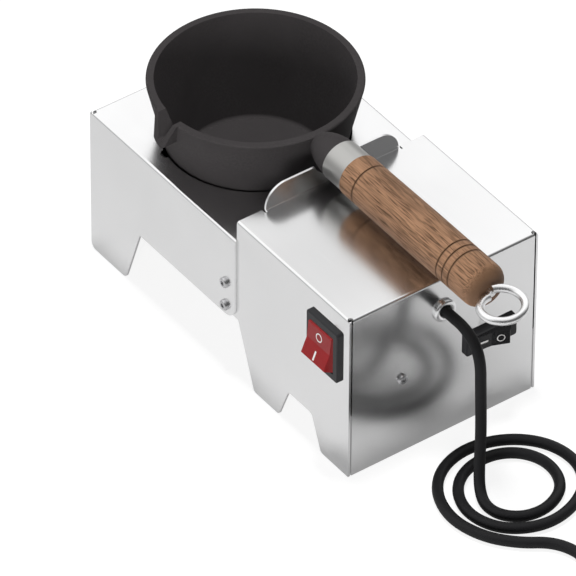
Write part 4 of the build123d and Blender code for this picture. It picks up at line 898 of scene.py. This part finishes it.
class ScrewTree:
    """The geometry nodes that set a screw on every seat of a family."""

    INPUTS = {
        "Seats": "NodeSocketGeometry",
        "Head": "NodeSocketObject",
        "Turn": "NodeSocketObject",
        "Tip": "NodeSocketObject",
        "Length": "NodeSocketFloat",
        "Pitch": "NodeSocketFloat",
        "Seed": "NodeSocketInt",
        "Finish": "NodeSocketMaterial",
    }

    def __init__(self) -> None:
        """Builds the tree, with named inputs for its sizes."""
        self.tree = bpy.data.node_groups.new("screws_on_seats", "GeometryNodeTree")
        self.tree.is_modifier = True
        made = self.tree.interface.new_socket
        self.keys = {
            name: made(name, in_out="INPUT", socket_type=kind).identifier for name, kind in self.INPUTS.items()
        }
        made("Screws", in_out="OUTPUT", socket_type="NodeSocketGeometry")
        graph = Graph(self.tree)
        given = graph.add("NodeGroupInput").outputs
        turns = graph.math("ROUND", graph.math("DIVIDE", given["Length"], given["Pitch"]))
        shank, tip = self._shank(graph, given, turns), self._moved_tip(graph, given, turns)
        whole = graph.add("GeometryNodeJoinGeometry")
        for part in (self._shape(graph, given["Head"]), shank, tip):
            graph.feed(whole.inputs[0], part)
        facing = graph.add("GeometryNodeInputNamedAttribute", {"Name": "facing"}, data_type="FLOAT_VECTOR")
        aligned = graph.add("FunctionNodeAlignRotationToVector", {"Vector": facing.outputs[0]}, axis="Z")
        spin = graph.add("FunctionNodeRandomValue", {"Seed": given["Seed"], 3: math.tau}, data_type="FLOAT")
        turned = graph.add("FunctionNodeAxisAngleToRotation", {"Axis": (0, 0, 1), "Angle": spin.outputs[1]})
        both = graph.add("FunctionNodeRotateRotation", rotation_space="LOCAL")
        graph.feed(both.inputs[0], aligned.outputs[0])
        graph.feed(both.inputs[1], turned.outputs[0])
        placed = graph.add(
            "GeometryNodeInstanceOnPoints",
            {"Points": given["Seats"], "Instance": whole.outputs[0], "Rotation": both.outputs[0]},
        )
        real = graph.add("GeometryNodeRealizeInstances", {0: placed.outputs[0]})
        joined = graph.add("GeometryNodeMergeByDistance", {"Geometry": real.outputs[0], "Distance": 2e-6})
        dressed = graph.add("GeometryNodeSetMaterial", {"Geometry": joined.outputs[0], "Material": given["Finish"]})
        graph.feed(graph.add("NodeGroupOutput").inputs[0], dressed.outputs[0])

    @staticmethod
    def _shape(graph: Graph, part: Socket) -> Socket:
        """The geometry of one of the pattern's objects."""
        return graph.add("GeometryNodeObjectInfo", {"Object": part}).outputs["Geometry"]

    @staticmethod
    def _down(graph: Graph, distance: Socket) -> Socket:
        """A step down along the screw."""
        return graph.add("ShaderNodeCombineXYZ", {"Z": graph.math("MULTIPLY", distance, -1.0)}).outputs[0]

    def _shank(self, graph: Graph, given: bpy.types.NodeOutputs, turns: Socket) -> Socket:
        """So many turns of thread, one pitch apart.

        Args:
            graph: The tree's nodes.
            given: The tree's inputs.
            turns: The number of the thread's turns.

        Returns:
            The thread's geometry.
        """
        step = self._down(graph, given["Pitch"])
        row = graph.add("GeometryNodeMeshLine", {"Count": turns, "Offset": step}, mode="OFFSET")
        inputs = {"Points": row.outputs[0], "Instance": self._shape(graph, given["Turn"])}
        return graph.add("GeometryNodeInstanceOnPoints", inputs).outputs[0]

    def _moved_tip(self, graph: Graph, given: bpy.types.NodeOutputs, turns: Socket) -> Socket:
        """The tip, moved to the thread's end.

        Args:
            graph: The tree's nodes.
            given: The tree's inputs.
            turns: The number of the thread's turns.

        Returns:
            The tip's geometry.
        """
        place = self._down(graph, graph.math("MULTIPLY", turns, given["Pitch"]))
        inputs = {"Geometry": self._shape(graph, given["Tip"]), "Translation": place}
        return graph.add("GeometryNodeTransform", inputs).outputs[0]

    def apply(self, seats: bpy.types.Object, values: dict[str, Any]) -> bpy.types.Mesh:
        """Runs the tree on an object of seats.

        Args:
            seats: A mesh of single points with a "facing" direction each.
            values: The tree's inputs, by name.

        Returns:
            The screws as a plain mesh.
        """
        modifier = seats.modifiers.new("screws", "NODES")
        modifier.node_group = self.tree
        for name, value in values.items():
            modifier[self.keys[name]] = value
        bpy.context.view_layer.update()
        evaluated = seats.evaluated_get(bpy.context.evaluated_depsgraph_get())
        mesh = bpy.data.meshes.new_from_object(evaluated)
        seats.modifiers.remove(modifier)
        return mesh


@dataclass
class ScrewFamily:
    """Identical screws that stand for one node.

    Attributes:
        node: The node of the solids that they stand for.
        seats: Where the heads sit, in mm, with the way they face.
        seed: Seed of the heads' random turn.
    """

    node: str
    seats: tuple[tuple[Triple, Facing], ...]
    seed: int

    def shank_length(self, pattern: ScrewPattern) -> float:
        """Works out the thread's length from the solids' box along the way the heads face.

        Args:
            pattern: The screw's shape.

        Returns:
            The length in metres, without the tip.
        """
        low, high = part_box(self.node)
        axis = max(range(3), key=lambda i: abs(self.seats[0][1].value[i]))
        same = all(abs(seat[0][axis] - self.seats[0][0][axis]) < 1 for seat in self.seats)
        if same:
            return high[axis] - low[axis] - (pattern.head_height + pattern.tip_length) * MM
        across = abs(self.seats[0][0][axis] - self.seats[-1][0][axis])
        nuts_low, nuts_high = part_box(self.node.replace("screws", "nuts"))
        return (across * MM - (nuts_high[axis] - nuts_low[axis])) / 2 + pattern.through_nut * MM

    def build(self, datum: Datum, tree: ScrewTree, pattern: ScrewPattern, parts: dict[str, bpy.types.Object],
              finish: bpy.types.Material) -> bpy.types.Object:
        """Sets the screws on their seats.

        Args:
            datum: Where the seats are measured from.
            tree: The geometry nodes.
            pattern: The screw's shape.
            parts: The pattern's head, turn and tip objects.
            finish: The screws' material.

        Returns:
            One plain mesh with every screw of the family.
        """
        data = bpy.data.meshes.new(self.node + "_seats")
        data.from_pydata([datum.at(*place) for place, _ in self.seats], [], [])
        facing = data.attributes.new("facing", "FLOAT_VECTOR", "POINT")
        for index, (_, way) in enumerate(self.seats):
            facing.data[index].vector = way.value
        seats = linked(self.node + "_seats", data)
        values = {
            **parts,
            "Length": self.shank_length(pattern),
            "Pitch": pattern.pitch * MM,
            "Seed": self.seed,
            "Finish": finish,
        }
        mesh = tree.apply(seats, values)
        bpy.data.objects.remove(seats)
        mesh.set_sharp_from_angle(angle=math.radians(35))
        made = linked(self.node + "_threaded", mesh)
        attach(made, "base")
        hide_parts(self.node)
        return made


@dataclass
class Screws:
    """All the screws that hold the housings and what is inside them.

    Attributes:
        datum: Where the seats are measured from.
        pattern: The shape that all of them have.
        nut: Size of their nuts across the flats, in mm.
    """

    datum: Datum
    pattern: ScrewPattern = field(default_factory=ScrewPattern)
    nut: float = 5.5

    def families(self) -> list[ScrewFamily]:
        """Lists the families with their seats.

        Returns:
            The families.
        """
        sides = [((115.0, side * 58.5, z), Facing.RIGHT if side > 0 else Facing.LEFT)
                 for side in (-1, 1) for z in (41.8, 56.3)]
        tops = [(place, Facing.UP) for place in self._from_nuts("thermostat_nuts", 88.0)]
        return [
            ScrewFamily("side_screws", tuple(sides), 3),
            ScrewFamily("earth_screw", (((215.7, -25.0, 47.5), Facing.END),), 5),
            ScrewFamily("thermostat_screws", tuple(tops), 7),
            ScrewFamily("block_screws", (((161.0, 57.2, 91.0), Facing.RIGHT), ((184.0, 57.2, 79.0), Facing.RIGHT)), 9),
        ]

    def _from_nuts(self, node: str, height: float) -> list[Triple]:
        """Works out the seats above two nuts from the corners of the nuts' box.

        Args:
            node: The node of the nuts.
            height: The seats' height, in mm.

        Returns:
            The seats, in mm from the datum.
        """
        low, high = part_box(node)
        half = (self.nut / 2 * MM, self.nut / 2 / math.cos(math.radians(30)) * MM)
        spots = ((high.x - half[1], low.y + half[0]), (low.x + half[1], high.y - half[0]))
        return [((x - self.datum.x) / MM, (y - self.datum.y) / MM, height) for x, y in spots]

    def build(self, finish: bpy.types.Material) -> list[bpy.types.Object]:
        """Builds every family and removes the pattern's objects.

        Args:
            finish: The screws' material.

        Returns:
            The screws, one object a family.
        """
        parts = {"Head": self.pattern.head(), "Turn": self.pattern.turn(), "Tip": self.pattern.tip()}
        tree = ScrewTree()
        made = [family.build(self.datum, tree, self.pattern, parts, finish) for family in self.families()]
        for part in parts.values():
            bpy.data.objects.remove(part)
        return made


@dataclass
class RockerMarks:
    """The O and the I on a rocker, as thin raised paint. Sizes are in mm.

    Attributes:
        name: The name of the piece.
        body: The body that it rides on.
        slot: The rocker's slot; not used.
        origin: Middle of the switch on its panel.
        axes: The switch's own X, Y and Z as directions of the model.
        ring_half: Which half of the rocker has the O, 1 for the pressed one.
        ring_at: How far the O's middle is from the rocker's ridge.
        bar_at: Where the I starts and ends, from the ridge.
        tilt: The rocker's turn at rest, in degrees.
        ring_radius: Outer radius of the O.
        line: Width of the O's line.
        bar_width: Width of the I.
        ridge: Where the halves meet, out from the rocker's middle and up from its hinge.
        edge: Where each half ends, in the same way.
        lift: How far the paint stands over the face.
        sink: How far it reaches under the face.
        hinge_depth: How far the hinge is inside the panel's face.
        ring_points: Points round the O.
    """

    name: str
    body: str
    slot: Slot
    origin: Triple
    axes: tuple[Triple, Triple, Triple]
    ring_half: int
    ring_at: float
    bar_at: tuple[float, float]
    tilt: float = 14.0
    ring_radius: float = 2.45
    line: float = 0.62
    bar_width: float = 1.1
    ridge: tuple[float, float] = (0.0, 7.2)
    edge: tuple[float, float] = (9.4, 8.6)
    lift: float = 0.05
    sink: float = 0.1
    hinge_depth: float = 1.0
    ring_points: int = 40

    def on_face(self, datum: Datum, half: int, along: float, across: float, lift: float) -> Vector:
        """Places a point on one half of the rocker's face.

        Args:
            datum: Where the switch is measured from.
            half: The half, 1 for the pressed one and -1 for the raised one.
            along: Distance from the ridge.
            across: Distance from the middle.
            lift: Height above the face.

        Returns:
            The point in metres.
        """
        start = Vector((self.ridge[0], 0, self.ridge[1]))
        slope = (Vector((half * self.edge[0], 0, self.edge[1])) - start).normalized()
        normal = slope.cross(Vector((0, 1, 0)))
        normal = normal if normal.z > 0 else -normal
        local = start + slope * along + Vector((0, across, 0)) + normal * lift
        tilted = Matrix.Rotation(math.radians(self.tilt), 3, "Y") @ local - Vector((0, 0, self.hinge_depth))
        turned = sum((Vector(axis) * part for axis, part in zip(self.axes, tilted)), Vector())
        return datum.at(*(Vector(self.origin) + turned))

    def build(self, datum: Datum, finish: bpy.types.Material) -> bpy.types.Object:
        """Builds both marks as one thin closed mesh.

        Args:
            datum: Where the switch is measured from.
            finish: The paint.

        Returns:
            The marks, riding on the rocker.
        """

        def round_ring(radius: float, lift: float) -> list[Vector]:
            """A ring of points of the O.

            Args:
                radius: The ring's radius.
                lift: Its height above the face.

            Returns:
                The points in metres.
            """
            return [
                self.on_face(datum, self.ring_half, self.ring_at + radius * math.cos(a), radius * math.sin(a), lift)
                for a in angles(self.ring_points)
            ]

        outer, inner = self.ring_radius, self.ring_radius - self.line
        low, high = -self.sink, self.lift
        section = ((outer, low), (outer, high), (inner, high), (inner, low))
        letter = loft([round_ring(*corner) for corner in section], wrap=True)
        start, end = self.bar_at
        half = self.bar_width / 2
        corners = ((start, -half), (end, -half), (end, half), (start, half))
        rings = [[self.on_face(datum, -self.ring_half, a, b, lift) for a, b in corners] for lift in (low, high)]
        bar = loft(rings, caps=True)
        spare = bpy.data.meshes.new("bar")
        bar.to_mesh(spare)
        bar.free()
        letter.from_mesh(spare)
        bpy.data.meshes.remove(spare)
        made = as_object(self.name, letter)
        made.data.materials.append(finish)
        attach(made, self.body)
        return made


class Switches:
    """The marks of both rocker switches."""

    MARKS = (
        RockerMarks(
            "red_rocker_marks", "red_rocker", Slot.RED_ROCKER, (198.4, -57.2, 74.6),
            ((0, 0, 1), (-1, 0, 0), (0, -1, 0)), 1, 4.6, (3.4, 8.5),
        ),
        RockerMarks(
            "black_rocker_marks", "black_rocker", Slot.BLACK_ROCKER, (215.7, 27.0, 51.55),
            ((0, -1, 0), (0, 0, -1), (1, 0, 0)), -1, 4.8, (2.0, 7.1), ring_radius=2.15, line=0.52,
        ),
    )

    def build(self, datum: Datum, finish: bpy.types.Material) -> list[bpy.types.Object]:
        """Builds the marks of both rockers."""
        return [marks.build(datum, finish) for marks in self.MARKS]


@dataclass(frozen=True)
class Lamp:
    """A soft round lamp that metal doesn't mirror. Places and sizes are in metres, and the power is in watts."""

    name: str
    place: Triple
    size: float
    power: float


@dataclass
class Studio:
    """The pale floor, the soft light and the world round the object.

    Attributes:
        datum: Where the floor's dim part and the flag are measured from.
        floor_half: Half the floor's side, in metres.
        floor_drop: How far the floor lies under the object, in metres.
        floor_tone: The floor's grey in plain light.
        glow: What the floor gives off to the camera and to metal.
        scatter: What the floor scatters there, which carries the shadows.
        dim_middle: Middle of the painted shadow on the floor in front of the end panel, which metal alone mirrors, in
            mm.
        dim_reach: Where the painted shadow starts to fade and where it ends, in mm.
        dim_level: How bright its middle is.
        flag_middle: Middle of the soft grey flag over the housings that metal alone mirrors, in mm.
        flag_reach: Radius of the flag, in mm.
        flag_points: Corners of the flag.
        flag_core: Share of the radius where the flag starts to fade.
        flag_level: How bright the flag's middle is.
        sky_steps: Height over the horizon, from 0 to 1, and brightness of the sky's steps.
        side_fade: Where the sky that metal mirrors starts and ends to change along the length.
        side_level: Its level at either end, the low one towards the end panel.
        overhead: Height from where and to where it is even again.
        sky_light: The sky's level as plain light.
        aim: Where the lamps point, in metres.
        lamps: The lamps.
    """

    datum: Datum
    floor_half: float = 4.0
    floor_drop: float = 0.0003
    floor_tone: float = 0.8
    glow: tuple[float, float] = (0.87, 0.28)
    scatter: tuple[float, float] = (0.26, 0.56)
    dim_middle: tuple[float, float] = (272.0, 0.0)
    dim_reach: tuple[float, float] = (30.0, 115.0)
    dim_level: float = 0.72
    flag_middle: Triple = (-155.0, 196.0, 450.0)
    flag_reach: float = 95.0
    flag_points: int = 32
    flag_core: float = 0.15
    flag_level: float = 0.62
    sky_steps: tuple[tuple[float, float], ...] = ((0.0, 0.42), (0.25, 0.5), (0.45, 0.9), (0.62, 1.02), (1.0, 0.95))
    side_fade: tuple[float, float] = (-0.35, 0.45)
    side_level: tuple[float, float] = (1.16, 0.17)
    overhead: tuple[float, float] = (0.75, 0.97)
    sky_light: float = 0.13
    aim: Triple = (0.0, 0.0, 0.06)
    lamps: tuple[Lamp, ...] = (
        Lamp("top_lamp", (-0.08, 0.0, 1.6), 0.3, 17.0),
        Lamp("front_lamp", (0.95, -1.35, 0.3), 0.6, 14.0),
    )

    def build(self) -> None:
        """Builds the floor, the flag, the world and the lamps."""
        self._build_floor()
        self._build_flag()
        self._build_world()
        self._build_lamps()

    @staticmethod
    def _sheet(name: str, corners: Sequence[Vector]) -> tuple[bpy.types.Object, Graph]:
        """Builds a flat piece of one face.

        Args:
            name: The name of the piece and of its material.
            corners: The face's corners.

        Returns:
            The piece, and a Graph on its empty material.
        """
        mesh = bmesh.new()
        mesh.faces.new([mesh.verts.new(corner) for corner in corners])
        sheet = as_object(name, mesh)
        material = bpy.data.materials.new(name)
        sheet.data.materials.append(material)
        return sheet, Graph.cleared(material)

    def _build_floor(self) -> None:
        """Builds the floor, white to the camera and to metal but for a painted shadow that metal mirrors in front of
        the end panel, and keeps the object's shadow on it.
        """
        size = self.floor_half
        sides = ((-1, -1), (1, -1), (1, 1), (-1, 1))
        floor, graph = self._sheet("studio_floor", [Vector((x * size, y * size, -self.floor_drop)) for x, y in sides])
        path = graph.add("ShaderNodeLightPath").outputs
        start, end = (reach * MM for reach in self.dim_reach)
        # Painted shadow: the floor that metal mirrors is dimmer round a spot in front of the end panel.
        painted_shadow = graph.remap(graph.away_from(self.datum.at(*self.dim_middle, 0)), start, end, self.dim_level, 1.0)
        camera, metal = self._shown(graph, 0, 1.0), self._shown(graph, 1, painted_shadow)
        plain = graph.add("ShaderNodeBsdfDiffuse", {"Color": (*[self.floor_tone] * 3, 1)}).outputs[0]
        first = graph.add("ShaderNodeMixShader", {0: path["Is Glossy Ray"], 1: plain, 2: metal})
        clear = graph.math("MAXIMUM", path["Is Camera Ray"], path["Is Transmission Ray"])
        graph.show(graph.add("ShaderNodeMixShader", {0: clear, 1: first.outputs[0], 2: camera}).outputs[0])

    def _build_flag(self) -> None:
        """Builds the flag, which metal alone shows, faded to nothing at its rim."""
        middle = self.datum.at(*self.flag_middle)
        reach = self.flag_reach * MM
        rim = [middle + Vector((math.cos(a), math.sin(a), 0)) * reach for a in angles(self.flag_points)]
        flag, graph = self._sheet("studio_flag", rim)
        share = graph.remap(graph.away_from(middle), self.flag_core * reach, reach, 1.0, 0.0)
        grey = graph.add("ShaderNodeEmission", {"Color": (*[self.flag_level] * 3, 1)}).outputs[0]
        clear = graph.add("ShaderNodeBsdfTransparent").outputs[0]
        graph.show(graph.add("ShaderNodeMixShader", {0: share, 1: clear, 2: grey}).outputs[0])
        flag.visible_camera = flag.visible_diffuse = flag.visible_shadow = False
        flag.visible_transmission = flag.visible_volume_scatter = False

    def _shown(self, graph: Graph, kind: int, level: Any) -> Socket:
        """Mixes what the floor gives off with what it scatters.

        Args:
            graph: The floor's nodes.
            kind: Who sees it: 0 is the camera and 1 is metal.
            level: How bright it is, as a share.

        Returns:
            The shader.
        """
        glow = graph.add("ShaderNodeEmission", {"Color": (1, 1, 1, 1)})
        graph.feed(glow.inputs["Strength"], graph.math("MULTIPLY", level, self.glow[kind]))
        shade = graph.add("ShaderNodeCombineColor")
        for part in range(3):
            graph.feed(shade.inputs[part], graph.math("MULTIPLY", level, self.scatter[kind]))
        pale = graph.add("ShaderNodeBsdfDiffuse", {"Color": shade.outputs[0]})
        return graph.add("ShaderNodeAddShader", {0: glow.outputs[0], 1: pale.outputs[0]}).outputs[0]

    def _build_world(self) -> None:
        """Builds the world: white to the camera, and a soft sky for the rest, dim towards the end panel."""
        world = bpy.data.worlds.new("studio_sky")
        graph = Graph.cleared(world)
        way = graph.add("ShaderNodeTexCoord").outputs["Generated"]
        parts = graph.add("ShaderNodeSeparateXYZ", {0: way}).outputs
        ramp = graph.add("ShaderNodeValToRGB", {0: parts["Z"]})
        elements = ramp.color_ramp.elements
        elements.remove(elements[-1])
        for index, (spot, level) in enumerate(self.sky_steps):
            element = elements[0] if index == 0 else elements.new(spot)
            element.position, element.color = spot, (level, level, level, 1)
        side = graph.remap(parts["X"], *self.side_fade, *self.side_level)
        side = graph.math("MAXIMUM", side, graph.remap(parts["Z"], *self.overhead))
        path = graph.add("ShaderNodeLightPath").outputs
        inputs = {0: path["Is Glossy Ray"], 2: self.sky_light, 3: side}
        level = graph.add("ShaderNodeMix", inputs, data_type="FLOAT").outputs[0]
        sky = graph.mix(1.0, ramp.outputs[0], level, "MULTIPLY")
        colour = graph.mix(path["Is Camera Ray"], sky, (1.0, 1.0, 1.0))
        graph.show(graph.add("ShaderNodeBackground", {"Color": colour}).outputs[0], "World")
        bpy.context.scene.world = world

    def _build_lamps(self) -> None:
        """Builds the soft lamps, each aimed at the object's middle."""
        for lamp in self.lamps:
            data = bpy.data.lights.new(lamp.name, "AREA")
            data.shape, data.size, data.energy = "DISK", lamp.size, lamp.power
            made = linked(lamp.name, data)
            made.location = lamp.place
            aim = Vector(self.aim) - Vector(lamp.place)
            made.rotation_euler = aim.to_track_quat("-Z", "Y").to_euler()
            made.visible_glossy = False


@dataclass
class PhotoCamera:
    """The camera at the photograph's place, turn and angle of view.

    Attributes:
        place: Its place in mm from the datum.
        right: Its own X.
        up: Its own Y.
        lens: Focal length in mm.
        sensor: Width of the sensor, in mm.
        clip: The nearest and the farthest that it sees, in metres.
    """

    place: Triple = (2884.77, -2059.55, 3000.44)
    right: Triple = (0.58977, 0.80756, 0.00453)
    up: Triple = (-0.52955, 0.38248, 0.75716)
    lens: float = 573.075
    sensor: float = 36.0
    clip: tuple[float, float] = (0.5, 30.0)

    def build(self, datum: Datum) -> None:
        """Builds the camera and makes it the scene's.

        Args:
            datum: Where its place is measured from.
        """
        data = bpy.data.cameras.new("photo_camera")
        data.lens, data.sensor_width = self.lens, self.sensor
        data.clip_start, data.clip_end = self.clip
        camera = linked("photo_camera", data)
        right, up = Vector(self.right), Vector(self.up)
        turn = Matrix((right, up, right.cross(up))).transposed()
        camera.matrix_world = Matrix.Translation(datum.at(*self.place)) @ turn.to_4x4()
        bpy.context.scene.camera = camera


def main() -> None:
    """Builds the camera, the cord, the screws, the marks, the finishes and the studio."""
    logging.basicConfig(level=logging.INFO, format="%(name)s: %(message)s")
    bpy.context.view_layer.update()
    bpy.context.scene.view_settings.view_transform = "Standard"
    datum = Datum.from_housing()
    PhotoCamera().build(datum)
    finishes = Finishes(datum)
    log.info("dressed %d nodes", CadNodes(finishes).dress())
    pieces = [Cord(datum).build(finishes["cord_rubber"])]
    pieces += Screws(datum).build(finishes["zinc_steel"])
    pieces += Switches().build(datum, finishes["mark_paint"])
    for piece in pieces:
        size = len(piece.data.polygons) if piece.type == "MESH" else "curve"
        log.info("built %s, faces: %s", piece.name, size)
    Studio(datum).build()
    log.info("built the studio")


if __name__ == "__main__":
    main()
